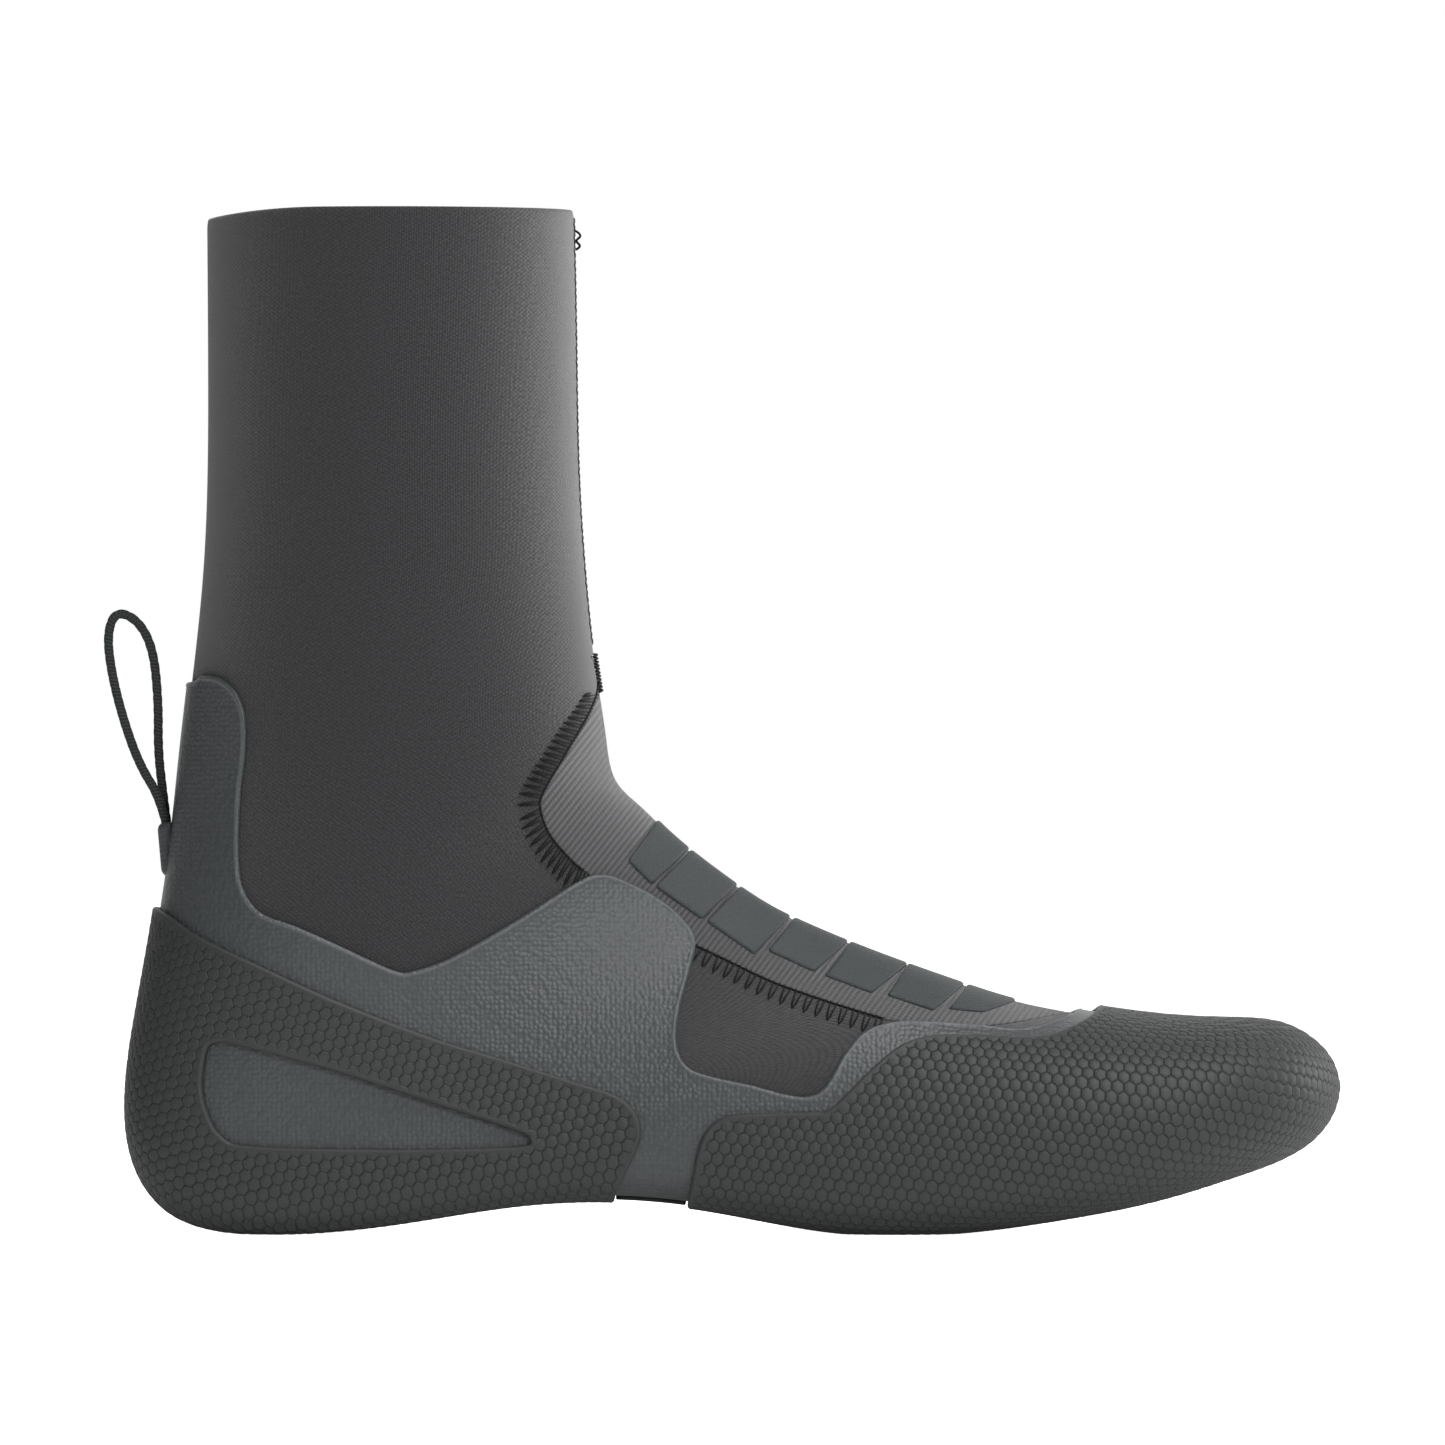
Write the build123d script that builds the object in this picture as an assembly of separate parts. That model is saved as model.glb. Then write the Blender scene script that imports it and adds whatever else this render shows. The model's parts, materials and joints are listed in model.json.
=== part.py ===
"""Neoprene water-sports boot, right foot: layered panels, rubber overlay, caps and a pull loop.

Millimetres. Toe along +X, up +Z, ground at Z = 0, X = 0 at mid length, inner (medial) side +Y.
Every layer is the space between two copies of one foot-shaped surface, the copies set apart by
the layer thicknesses, so neighbouring layers always meet face to face.  Each panel is a layer cut
by a side outline.
"""
import os
from math import cos, hypot, log, pi, radians, sin, tan

from build123d import *

# ---- overall size -------------------------------------------------------------------------
boot_length = 292.0      # heel cap to toe cap
boot_height = 245.0      # ground to cuff edge
ball_width = 94.0        # neoprene skin across the ball of the foot
cuff_width = 86.0        # neoprene skin across the cuff

# ---- layers, inside to outside ------------------------------------------------------------
insole_thickness = 2.5
lining_thickness = 1.0
neoprene_thickness = 4.0
overlay_thickness = 1.2
cap_thickness = 1.8      # on top of the overlay
pad_thickness = 0.8
stitch_height = 0.5
arch_strip_thickness = 1.0

# ---- ankle bend ---------------------------------------------------------------------------
ankle_pivot = (-83.0, 100.0)     # X, Z of the line the boot bends about
foot_front_ray = 14.0            # degrees above level, front edge of the stiff foot part
shaft_front_ray = 36.0
shaft_back_ray = 122.0
foot_back_ray = 145.0
pivot_disc = 8.0                 # stretch zone kept round the pivot itself

# ---- stitching and arch strip -------------------------------------------------------------
throat_stitch_width = 7.5
instep_stitch_width = 5.0
front_stitch_width = 6.0
arch_strip_width = 32.0

# ---- pull loop ----------------------------------------------------------------------------
cord_diameter = 2.2
cord_spacing = 2.9               # between the two legs at the anchor
anchor_width = 8.0
lobe_radius = 1.9                # rounded top of the anchor that the loop swings about
swing_gap = 0.06                 # between the lobe and the ends of the loop
lobe_centre = (-135.3, 96.8)

# Side-view profile and widths at 292 x 245 mm: heel/sole point, front/top point, half width,
# relative height of the widest line, squareness below and above it, sideways shift.
PROFILE_LENGTH = 292.0
PROFILE_HEIGHT = 245.0
PROFILE_BALL = 94.0
PROFILE_CUFF = 86.0
SECTIONS = [
    ((-125.8, 245.0), (-38.0, 245.0), 43.0, 0.50, 2.0, 2.0, 0.0),
    ((-125.6, 213.0), (-37.4, 213.0), 42.3, 0.50, 2.0, 2.0, 0.0),
    ((-125.8, 178.0), (-36.6, 178.0), 41.0, 0.50, 2.0, 2.0, 0.0),
    ((-127.0, 155.0), (-35.0, 155.0), 39.5, 0.50, 2.0, 2.0, 0.0),
    ((-129.2, 134.0), (-33.0, 137.0), 38.0, 0.52, 2.0, 2.0, 0.0),
    ((-131.6, 113.0), (-30.5, 121.0), 36.5, 0.52, 2.0, 2.0, 0.0),
    ((-134.9, 84.0), (-28.2, 109.0), 35.3, 0.48, 2.1, 2.0, 0.0),
    ((-140.3, 52.0), (-21.3, 101.6), 34.0, 0.40, 2.2, 2.0, 0.0),
    ((-142.6, 34.0), (-15.5, 96.0), 33.5, 0.37, 2.3, 2.0, 0.0),
    ((-141.0, 18.5), (-9.0, 90.5), 33.2, 0.34, 2.5, 2.0, 0.0),
    ((-133.5, 7.6), (-1.0, 84.5), 33.2, 0.32, 2.8, 2.0, 0.0),
    ((-121.0, 3.3), (7.5, 78.8), 33.4, 0.30, 3.0, 2.0, 0.0),
    ((-105.0, 2.8), (16.0, 74.5), 33.8, 0.30, 3.0, 2.0, 0.0),
    ((-82.0, 4.9), (26.0, 70.2), 34.5, 0.30, 3.0, 2.0, 0.0),
    ((-48.0, 9.8), (40.0, 64.8), 36.0, 0.31, 3.0, 2.0, 0.5),
    ((-10.0, 8.9), (54.7, 59.6), 39.5, 0.34, 3.0, 2.0, 2.5),
    ((24.0, 3.1), (69.0, 55.2), 43.8, 0.37, 3.0, 2.1, 4.5),
    ((52.0, 2.7), (82.0, 52.6), 46.6, 0.40, 3.0, 2.1, 6.2),
    ((80.0, 6.2), (96.0, 50.4), 47.0, 0.42, 2.9, 2.2, 7.5),
    ((103.0, 10.8), (111.0, 49.0), 44.7, 0.45, 2.6, 2.2, 8.7),
    ((121.0, 16.3), (123.5, 48.6), 38.6, 0.47, 2.4, 2.2, 9.5),
    ((133.5, 21.3), (133.5, 46.8), 29.0, 0.49, 2.2, 2.1, 9.9),
    ((139.8, 26.4), (139.4, 42.8), 18.0, 0.50, 2.0, 2.0, 10.0),
    ((142.6, 31.6), (142.3, 38.6), 7.0, 0.50, 2.0, 2.0, 10.0),
]
TOE_TIP = (143.2, 35.0)
RING_POINTS = 16
SPANS = [0, 12, 16, 19, 23]  # shaft and heel, waist, ball, toe: each a smooth run of sections

length_scale = boot_length / PROFILE_LENGTH
height_scale = boot_height / PROFILE_HEIGHT
ball_scale = ball_width / PROFILE_BALL
cuff_scale = cuff_width / PROFILE_CUFF

# Side outlines (X, Z) of the panels at the profile size.
OVERLAY_EDGE = [
    (-150, 131), (-130.6, 132), (-127, 133.5), (-122.5, 132.8), (-118.6, 129.3), (-116.6, 123.5),
    (-116.5, 115), (-117.7, 104), (-117.9, 90), (-116.6, 82.5), (-112.3, 77), (-103.7, 73.7),
    (-92.9, 68.9), (-80.9, 63.4), (-76.3, 63), (-66.5, 66.5), (-50.9, 75.4), (-36.5, 84.5),
    (-30.5, 86.2), (-24, 84), (-16.3, 79.7), (-10.8, 74.6), (-8.6, 70), (-10.1, 63.1),
    (-12.5, 54), (-13.2, 46.6), (-11.5, 41.5), (-7.4, 38.9), (3.1, 36.5), (19.2, 33.6),
    (26.9, 43.9), (31.7, 49), (37.2, 50.9), (43.4, 51.4), (59, 50.4), (67.4, 49.4),
    (75, 50.5), (84.7, 54.7), (92, 62),
]
TOE_CAP_EDGE = [
    (-10.8, 6.5), (-9.4, 13.9), (-8.2, 20.6), (-6, 25.6), (-2.2, 28.4), (3.4, 29.3), (18.2, 29.8),
    (23.3, 30.7), (31.9, 39.1), (37.7, 44.2), (43, 47.1), (50.4, 48.4), (60.7, 48.2), (71, 47.8),
    (78, 49), (87.1, 53.8), (93, 62),
]
HEEL_CAP_EDGE = [
    (-150, 84), (-136.8, 77.2), (-127.7, 71.5), (-113, 64.6), (-96.5, 57.1), (-82.8, 51.6),
    (-69.1, 46.6), (-55.2, 42.5), (-36, 36.5), (-28.6, 34.1), (-24, 31), (-21.8, 26.3),
    (-22.6, 20.9), (-28.1, 8.4),
]
HEEL_WINDOW = [
    (-125.3, 44.4), (-122.8, 46), (-118, 45.5), (-96.5, 39.8), (-82.8, 35.5), (-69.1, 31),
    (-51.2, 25.1), (-48.4, 23.3), (-50.4, 21.5), (-69.1, 20.9), (-87.4, 20.8), (-115, 21.5),
    (-121.8, 24), (-125, 29.3), (-126.5, 36),
]
THROAT_SEAM = [
    (-33.8, 138.5), (-32.2, 131.8), (-34.1, 125), (-39.8, 115), (-45.2, 105.6), (-45.8, 101.5),
    (-43.6, 95.5), (-38.6, 89.5), (-35, 86.4),
]
INSTEP_SEAM = [
    (-22.1, 76.1), (-8.6, 68.9), (-1.4, 65.5), (8.4, 60.8), (17.5, 57.4), (27, 54.3), (36.7, 51.4),
    (59.5, 49.9), (82.3, 53.3),
]
SOLE_LINE = [(-150, 15), (-125, 12), (-90, 13), (-48, 18), (-10, 17.5), (30, 12), (60, 12.5),
             (95, 18), (122, 26), (150, 36)]
# Rear and front edge of each instep pad: rear top, front top, front bottom, rear bottom.
PADS = [
    [(-17.8, 98.9), (-10.7, 91.7), (-19.0, 83.8), (-24.7, 89.5)],
    [(-10.3, 91.4), (0.5, 82.8), (-7.0, 75.5), (-18.2, 83.3)],
    [(1.1, 82.3), (13.4, 75.5), (5.4, 67.2), (-6.0, 75.1)],
    [(14.3, 75.0), (26.9, 69.4), (19.7, 63.1), (8.6, 68.2)],
    [(27.7, 69.1), (41.3, 64.2), (33.4, 58.1), (22.3, 62.2)],
    [(41.8, 64.1), (55.0, 59.5), (48.1, 54.0), (37.1, 57.6)],
    [(55.9, 59.0), (66.5, 55.7), (60.0, 53.6), (51.8, 54.4)],
]
PAD_REACH = 7.0          # how far each pad outline runs past the top of the foot
FAR = 0.65 * max(boot_length, boot_height)   # outside everything


def scaled(points):
    """Profile-size side points at the chosen length and height."""
    return [(x * length_scale, z * height_scale) for x, z in points]


def outward(curve, k, side):
    """Unit normal of a side curve at point k, pointing out of the foot."""
    ax, az = curve[max(k - 1, 0)]
    bx, bz = curve[min(k + 1, len(curve) - 1)]
    run = hypot(bx - ax, bz - az)
    return (-side * (bz - az) / run, side * (bx - ax) / run)


def one(shape):
    """The single solid of a cut, stray slivers dropped."""
    return max(shape.solids(), key=lambda s: s.volume)


def skin(offset):
    """Closed solid bounded by the boot surface moved outward by offset."""
    low = scaled([s[0] for s in SECTIONS] + [TOE_TIP])
    top = scaled([s[1] for s in SECTIONS] + [TOE_TIP])
    # cuff width rules the shaft sections, ball width the foot sections
    share = [min(1.0, k / 12) for k in range(len(SECTIONS))]
    half = [s[2] * (cuff_scale + (ball_scale - cuff_scale) * w) for s, w in zip(SECTIONS, share)]
    half.append(0.0)
    rings = []
    for k, (_, _, _, widest, square_low, square_up, shift) in enumerate(SECTIONS):
        low_out = (-1.0, 0.0) if k == 0 else outward(low, k, -1)
        top_out = (1.0, 0.0) if k == 0 else outward(top, k, 1)
        x0 = low[k][0] + offset * low_out[0]
        z0 = low[k][1] + offset * low_out[1]
        x1 = top[k][0] + offset * top_out[0]
        z1 = top[k][1] + offset * top_out[1]
        before = max(k - 1, 0)
        step_x = (low[k + 1][0] + top[k + 1][0] - low[before][0] - top[before][0]) / 2
        step_z = (low[k + 1][1] + top[k + 1][1] - low[before][1] - top[before][1]) / 2
        step = hypot(step_x, step_z)
        width = half[k] + offset * step / hypot(step, half[k + 1] - half[before])
        bulge = log(widest) / log(0.5)
        points = []
        for i in range(RING_POINTS):
            turn = 2 * pi * i / RING_POINTS
            power = (square_low + square_up) / 2 - (square_low - square_up) / 2 * sin(turn)
            reach = (abs(cos(turn)) ** power + abs(sin(turn)) ** power) ** (-1 / power)
            rise = max(0.0, (1 + reach * sin(turn)) / 2) ** bulge
            points.append(Vector(x0 + (x1 - x0) * rise,
                                 shift * ball_scale + width * reach * cos(turn),
                                 z0 + (z1 - z0) * rise))
        knots = [i / RING_POINTS for i in range(RING_POINTS + 1)]
        rings.append(Wire([Edge.make_spline(points, periodic=True, parameters=knots)]))
    lofts = [Solid.make_loft(rings[a:b + 1]) for a, b in zip(SPANS, SPANS[1:])]
    return one(lofts[0].fuse(*lofts[1:]))


def prism(points, y_from=-FAR, y_to=FAR):
    """Side outline carried straight through the boot from y_from to y_to."""
    face = Face(Wire.make_polygon([Vector(x, y_from, z) for x, z in points], close=True))
    return Solid.extrude(face, Vector(0, y_to - y_from, 0))


def beside(points, width):
    """Band of the given width along the left of a side curve."""
    other = []
    for k, (x, z) in enumerate(points):
        nx, nz = outward(points, k, -1)
        other.append((x + nx * width, z + nz * width))
    return points + other[::-1]


def below(points):
    """Everything under a side curve that runs from the heel to the toe."""
    return [(-FAR, points[0][1])] + points + [(FAR, points[-1][1]), (FAR, -FAR), (-FAR, -FAR)]


def ray(angle):
    """Point far out from the ankle pivot at an angle above level."""
    return (pivot[0] + 2 * FAR * cos(radians(angle)), pivot[1] + 2 * FAR * sin(radians(angle)))


def layer(inner, outer, zone):
    """The stretch of the layer between two skins that lies inside a zone."""
    return (skins[outer] & zone) - skins[inner]


# ---- layer surfaces -----------------------------------------------------------------------
lining_out = -neoprene_thickness
lining_in = lining_out - lining_thickness
insole_in = lining_in - insole_thickness
cap_out = overlay_thickness + cap_thickness
arch_out = overlay_thickness + arch_strip_thickness
offsets = [insole_in, lining_in, lining_out, 0.0, stitch_height, pad_thickness, overlay_thickness,
           arch_out, cap_out]
skins = {offset: skin(offset) for offset in offsets}

# ---- side regions -------------------------------------------------------------------------
pivot = scaled([ankle_pivot])[0]
disc = Pos(pivot[0], 0, pivot[1]) * Rot(90, 0, 0) * Cylinder(pivot_disc, 2 * FAR)
foot_zone = prism([pivot, ray(foot_front_ray), (2 * FAR, -FAR), (-2 * FAR, -FAR),
                   ray(foot_back_ray)]) - disc
shaft_zone = prism([pivot, ray(shaft_front_ray), (2 * FAR, 2 * FAR), (-FAR, 2 * FAR),
                    ray(shaft_back_ray)]) - disc
overlay_zone = prism(below(scaled(OVERLAY_EDGE)))
toe_cap_zone = prism(scaled(TOE_CAP_EDGE) + [(FAR, 62 * height_scale), (FAR, -FAR),
                                             (-10.8 * length_scale, -FAR)])
heel_cap_zone = prism([(-FAR, 84 * height_scale)] + scaled(HEEL_CAP_EDGE)
                      + [(-28.1 * length_scale, -FAR), (-FAR, -FAR)])
heel_window = prism(scaled(HEEL_WINDOW))
instep_zone = prism(scaled(THROAT_SEAM + INSTEP_SEAM + [(95, 62), (95, 138.5)]))
sole_zone = prism(below(scaled(SOLE_LINE)))
insole_zone = prism(below([(x, z - 1) for x, z in scaled(SOLE_LINE)]))
ground = Pos(0, 0, -FAR) * Box(4 * FAR, 4 * FAR, 2 * FAR)
everywhere = Box(4 * FAR, 2 * FAR, 4 * FAR)
front_half = Pos(pivot[0] + 2 * FAR, 0, 0) * Box(4 * FAR, 4 * FAR, 4 * FAR)

nodes = {}

# ---- shaft --------------------------------------------------------------------------------
nodes["shaft_panel"] = one(layer(lining_out, 0.0, shaft_zone))
nodes["shaft_lining"] = one(layer(lining_in, lining_out, shaft_zone))
front_strip = Pos(pivot[0] + 2 * FAR, 0, 0) * Box(4 * FAR, front_stitch_width, 4 * FAR)
nodes["front_seam_stitching"] = one(layer(0.0, stitch_height, front_strip & shaft_zone))

# ---- ankle stretch zone -------------------------------------------------------------------
ankle_zone = everywhere - foot_zone - shaft_zone
nodes["ankle_panel"] = one(layer(lining_out, 0.0, ankle_zone - instep_zone))
nodes["instep_throat"] = one(layer(lining_out, 0.0, ankle_zone & instep_zone & front_half))
nodes["ankle_lining"] = one(layer(lining_in, lining_out, ankle_zone))

# ---- foot ---------------------------------------------------------------------------------
nodes["quarter_panel"] = one(layer(lining_out, 0.0, foot_zone - instep_zone - sole_zone))
nodes["instep_panel"] = one(layer(lining_out, 0.0, foot_zone & instep_zone))
nodes["sole_board"] = one(layer(lining_out, 0.0, foot_zone & sole_zone))
nodes["foot_lining"] = one(layer(lining_in, lining_out, foot_zone))
nodes["insole"] = one(layer(insole_in, lining_in, insole_zone))
nodes["rubber_overlay"] = one(layer(0.0, overlay_thickness, overlay_zone))
nodes["heel_cap"] = one(layer(overlay_thickness, cap_out, heel_cap_zone - heel_window) - ground)
nodes["toe_cap"] = one(layer(overlay_thickness, cap_out, toe_cap_zone) - ground)
strip_x = (-27.8 * length_scale, -11.1 * length_scale)
strip_box = Pos(sum(strip_x) / 2, 1.5, 0) * Box(strip_x[1] - strip_x[0], arch_strip_width, 40)
nodes["arch_strip"] = one(layer(overlay_thickness, arch_out, strip_box))

for number, (rear_top, front_top, front_low, rear_low) in enumerate(PADS, start=1):
    outline = [rear_low]
    for base, tip in ((rear_low, rear_top), (front_low, front_top)):
        run = hypot(tip[0] - base[0], tip[1] - base[1])
        outline.append((tip[0] + (tip[0] - base[0]) / run * PAD_REACH,
                        tip[1] + (tip[1] - base[1]) / run * PAD_REACH))
    outline.append(front_low)
    nodes[f"instep_pad_{number}"] = one(layer(0.0, pad_thickness, prism(scaled(outline))))

# ---- overlock stitching beside the instep seam ----------------------------------------------
for side, (y_from, y_to) in {"lateral": (-FAR, 0.0), "medial": (0.0, FAR)}.items():
    throat = prism(beside(scaled(THROAT_SEAM), throat_stitch_width), y_from, y_to) - overlay_zone
    instep = prism(beside(scaled(INSTEP_SEAM[1:7]), instep_stitch_width), y_from, y_to)
    nodes[f"ankle_stitch_{side}"] = one(layer(0.0, stitch_height, throat & ankle_zone))
    nodes[f"throat_stitch_{side}"] = one(layer(0.0, stitch_height, throat & foot_zone))
    nodes[f"instep_stitch_{side}"] = one(layer(0.0, stitch_height, instep - overlay_zone))

# ---- loop anchor: two-lobed rubber rib on the back of the heel ------------------------------
lobe = scaled([lobe_centre])[0]
bridge_top = lobe[1] + 0.6 * lobe_radius        # below the lobe, so the loop's legs pass over it
stem = [(lobe[0], lobe[1] - lobe_radius), (lobe[0] + 6, bridge_top),
        (lobe[0] + 6, lobe[1] - 16), (lobe[0] + 1.6, lobe[1] - 12), (lobe[0] - 1.0, lobe[1] - 9),
        (lobe[0] - 1.2, lobe[1] - 5.5)]
anchor = prism(stem, -anchor_width / 2, anchor_width / 2)
anchor += Pos(lobe[0], 0, lobe[1]) * Rot(90, 0, 0) * Cylinder(lobe_radius, anchor_width)
bridge = [(lobe[0], bridge_top), (lobe[0] + 6, bridge_top),
          (lobe[0] + 6, lobe[1] - lobe_radius), (lobe[0], lobe[1] - lobe_radius)]
anchor += prism(bridge, -anchor_width / 2, anchor_width / 2)
nodes["loop_anchor"] = one(anchor - skins[overlay_thickness])

# ---- pull loop: braided cord, one closed turn up from the anchor ----------------------------
LOOP = [
    (0.0, -1, 0.0), (-1.6, -1, 7.2), (-6.6, -0.85, 15.2), (-10.4, -0.6, 25.6), (-13.4, -0.35, 37.2),
    (-14.5, -0.15, 46.9), (-12.3, 0, 52.3), (-7.0, 0.15, 50.0), (-3.4, 0.35, 43.1),
    (-2.2, 0.6, 30.4), (-2.3, 0.85, 18.9), (-1.2, 1, 8.9), (0.0, 1, 0.0),
]
loop_points = [Vector(lobe[0] + x * length_scale, y * cord_spacing / 2, lobe[1] + z * height_scale)
               for x, y, z in LOOP]
loop_radii = []
for a, b, c in zip(loop_points, loop_points[1:], loop_points[2:]):
    half_turn = radians((b - a).get_angle(c - b)) / 2
    loop_radii.append(0.45 * min((b - a).length, (c - b).length) / tan(half_turn))
print("pull loop bend radii, mm:", [round(r, 1) for r in loop_radii])
loop_path = FilletPolyline(*loop_points, radius=loop_radii)
loop_start = Plane(origin=loop_points[0], z_dir=loop_points[1] - loop_points[0])
cord = sweep(loop_start * Circle(cord_diameter / 2), path=loop_path)
swing_clear = Pos(lobe[0], 0, lobe[1]) * Rot(90, 0, 0) * Cylinder(lobe_radius + swing_gap,
                                                            2 * anchor_width)
nodes["pull_loop"] = one(cord - swing_clear)
section = pi * (cord_diameter / 2) ** 2
print("pull loop length, mm:", round(loop_path.length, 1),
      "tube volume over section x length:", round(cord.volume / (section * loop_path.length), 3))

# ---- origin under the middle of the boot, the loop not counted -------------------------------
boxes = [shape.bounding_box() for name, shape in nodes.items() if name != "pull_loop"]
mid_x = (min(b.min.X for b in boxes) + max(b.max.X for b in boxes)) / 2
mid_y = (min(b.min.Y for b in boxes) + max(b.max.Y for b in boxes)) / 2
nodes = {name: Pos(-mid_x, -mid_y, 0) * shape for name, shape in nodes.items()}
print(f"ankle pivot at X {pivot[0] - mid_x:.3f} Y {-mid_y:.3f} Z {pivot[1]:.3f}")
print(f"loop pivot at X {lobe[0] - mid_x:.3f} Y {-mid_y:.3f} Z {lobe[1]:.3f}")

os.makedirs("parts", exist_ok=True)
for name, shape in nodes.items():
    export_step(shape, f"parts/{name}.step")
    box = shape.bounding_box()
    print(f"{name:24s} {shape.volume:10.0f} mm3  X {box.min.X:7.1f} {box.max.X:7.1f}"
          f"  Y {box.min.Y:6.1f} {box.max.Y:6.1f}  Z {box.min.Z:6.1f} {box.max.Z:6.1f}")
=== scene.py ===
# %% [markdown]
# # A neoprene water-sports boot
# The real boot is sewn and glued round a last, a smooth foot-shaped block.  Knit-faced neoprene
# panels make the sock; a thin rubber overlay wraps the foot; thicker rubber caps are moulded
# over heel and toe; small rubber pads sit on the instep; thread and a cord loop finish it.
# Every layer follows the same last, so this script describes the last once and then cuts each
# sheet from it, as a boot maker does.  Sizes are in millimetres here and in metres in Blender.

import json
from math import cos, pi, radians, sin

import bpy
import numpy as np
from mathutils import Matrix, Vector
from mathutils.bvhtree import BVHTree


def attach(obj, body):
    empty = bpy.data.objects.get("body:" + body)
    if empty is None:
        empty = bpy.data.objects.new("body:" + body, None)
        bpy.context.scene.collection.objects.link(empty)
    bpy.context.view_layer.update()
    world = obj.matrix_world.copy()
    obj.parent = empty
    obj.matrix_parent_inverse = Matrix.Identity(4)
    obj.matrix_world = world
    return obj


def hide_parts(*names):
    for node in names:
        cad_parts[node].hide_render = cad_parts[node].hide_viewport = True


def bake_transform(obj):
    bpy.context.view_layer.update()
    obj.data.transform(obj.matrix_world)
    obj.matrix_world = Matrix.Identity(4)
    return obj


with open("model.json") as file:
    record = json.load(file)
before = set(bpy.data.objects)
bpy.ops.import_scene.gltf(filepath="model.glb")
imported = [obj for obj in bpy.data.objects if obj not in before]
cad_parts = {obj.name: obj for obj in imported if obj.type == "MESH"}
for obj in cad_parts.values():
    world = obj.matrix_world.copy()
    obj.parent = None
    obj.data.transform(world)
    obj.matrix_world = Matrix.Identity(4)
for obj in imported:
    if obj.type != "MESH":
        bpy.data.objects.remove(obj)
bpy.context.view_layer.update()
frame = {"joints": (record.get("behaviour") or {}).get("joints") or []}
bpy.ops.object.select_all(action="DESELECT")
MM = 0.001
ankle = np.array(frame["joints"][0]["pos_m"]) / MM
LAST_PIVOT = np.array([-83.0, 0.0, 100.0])   # where the ankle pivot lies on the last
SHIFT = ankle - LAST_PIVOT                   # from the last's own place to the frame's
CUFF_HEIGHT = 245.0
HAIR = 0.02                                  # clear gap between one glued layer and the next

# %% [markdown]
# ## The last
# A last could be sculpted, but a sculpt can't be measured.  Here it is a run of ribs, as in a
# boat hull: each rib has a lowest (heel or sole) point, a highest (shin or instep) point, a
# width and a squareness, and a smooth curve joins rib to rib from the cuff down round the heel
# and forward to the toe.

# %% Ribs of the last and the smooth curves between them
RIBS = [
    # heel/sole point, shin/instep point, half width, widest at, squareness below, above, shift
    ((-125.8, 245.0), (-38.0, 245.0), 43.0, 0.50, 2.0, 2.0, 0.0),
    ((-125.6, 213.0), (-37.4, 213.0), 42.3, 0.50, 2.0, 2.0, 0.0),
    ((-125.8, 178.0), (-36.6, 178.0), 41.0, 0.50, 2.0, 2.0, 0.0),
    ((-127.0, 155.0), (-35.0, 155.0), 39.5, 0.50, 2.0, 2.0, 0.0),
    ((-129.2, 134.0), (-33.0, 137.0), 38.0, 0.52, 2.0, 2.0, 0.0),
    ((-131.6, 113.0), (-30.5, 121.0), 36.5, 0.52, 2.0, 2.0, 0.0),
    ((-134.9, 84.0), (-28.2, 109.0), 35.3, 0.48, 2.1, 2.0, 0.0),
    ((-140.3, 52.0), (-21.3, 101.6), 34.0, 0.40, 2.2, 2.0, 0.0),
    ((-142.6, 34.0), (-15.5, 96.0), 33.5, 0.37, 2.3, 2.0, 0.0),
    ((-141.0, 18.5), (-9.0, 90.5), 33.2, 0.34, 2.5, 2.0, 0.0),
    ((-133.5, 7.6), (-1.0, 84.5), 33.2, 0.32, 2.8, 2.0, 0.0),
    ((-121.0, 3.3), (7.5, 78.8), 33.4, 0.30, 3.0, 2.0, 0.0),
    ((-105.0, 2.8), (16.0, 74.5), 33.8, 0.30, 3.0, 2.0, 0.0),
    ((-82.0, 4.9), (26.0, 70.2), 34.5, 0.30, 3.0, 2.0, 0.0),
    ((-48.0, 9.8), (40.0, 64.8), 36.0, 0.31, 3.0, 2.0, 0.5),
    ((-10.0, 8.9), (54.7, 59.6), 39.5, 0.34, 3.0, 2.0, 2.5),
    ((24.0, 3.1), (69.0, 55.2), 43.8, 0.37, 3.0, 2.1, 4.5),
    ((52.0, 2.7), (82.0, 52.6), 46.6, 0.40, 3.0, 2.1, 6.2),
    ((80.0, 6.2), (96.0, 50.4), 47.0, 0.42, 2.9, 2.2, 7.5),
    ((103.0, 10.8), (111.0, 49.0), 44.7, 0.45, 2.6, 2.2, 8.7),
    ((121.0, 16.3), (123.5, 48.6), 38.6, 0.47, 2.4, 2.2, 9.5),
    ((133.5, 21.3), (133.5, 46.8), 29.0, 0.49, 2.2, 2.1, 9.9),
    ((139.8, 26.4), (139.4, 42.8), 18.0, 0.50, 2.0, 2.0, 10.0),
    ((142.6, 31.6), (142.3, 38.6), 7.0, 0.50, 2.0, 2.0, 10.0),
    ((143.2, 35.0), (143.2, 35.0), 0.0, 0.50, 2.0, 2.0, 10.0),
]


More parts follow.
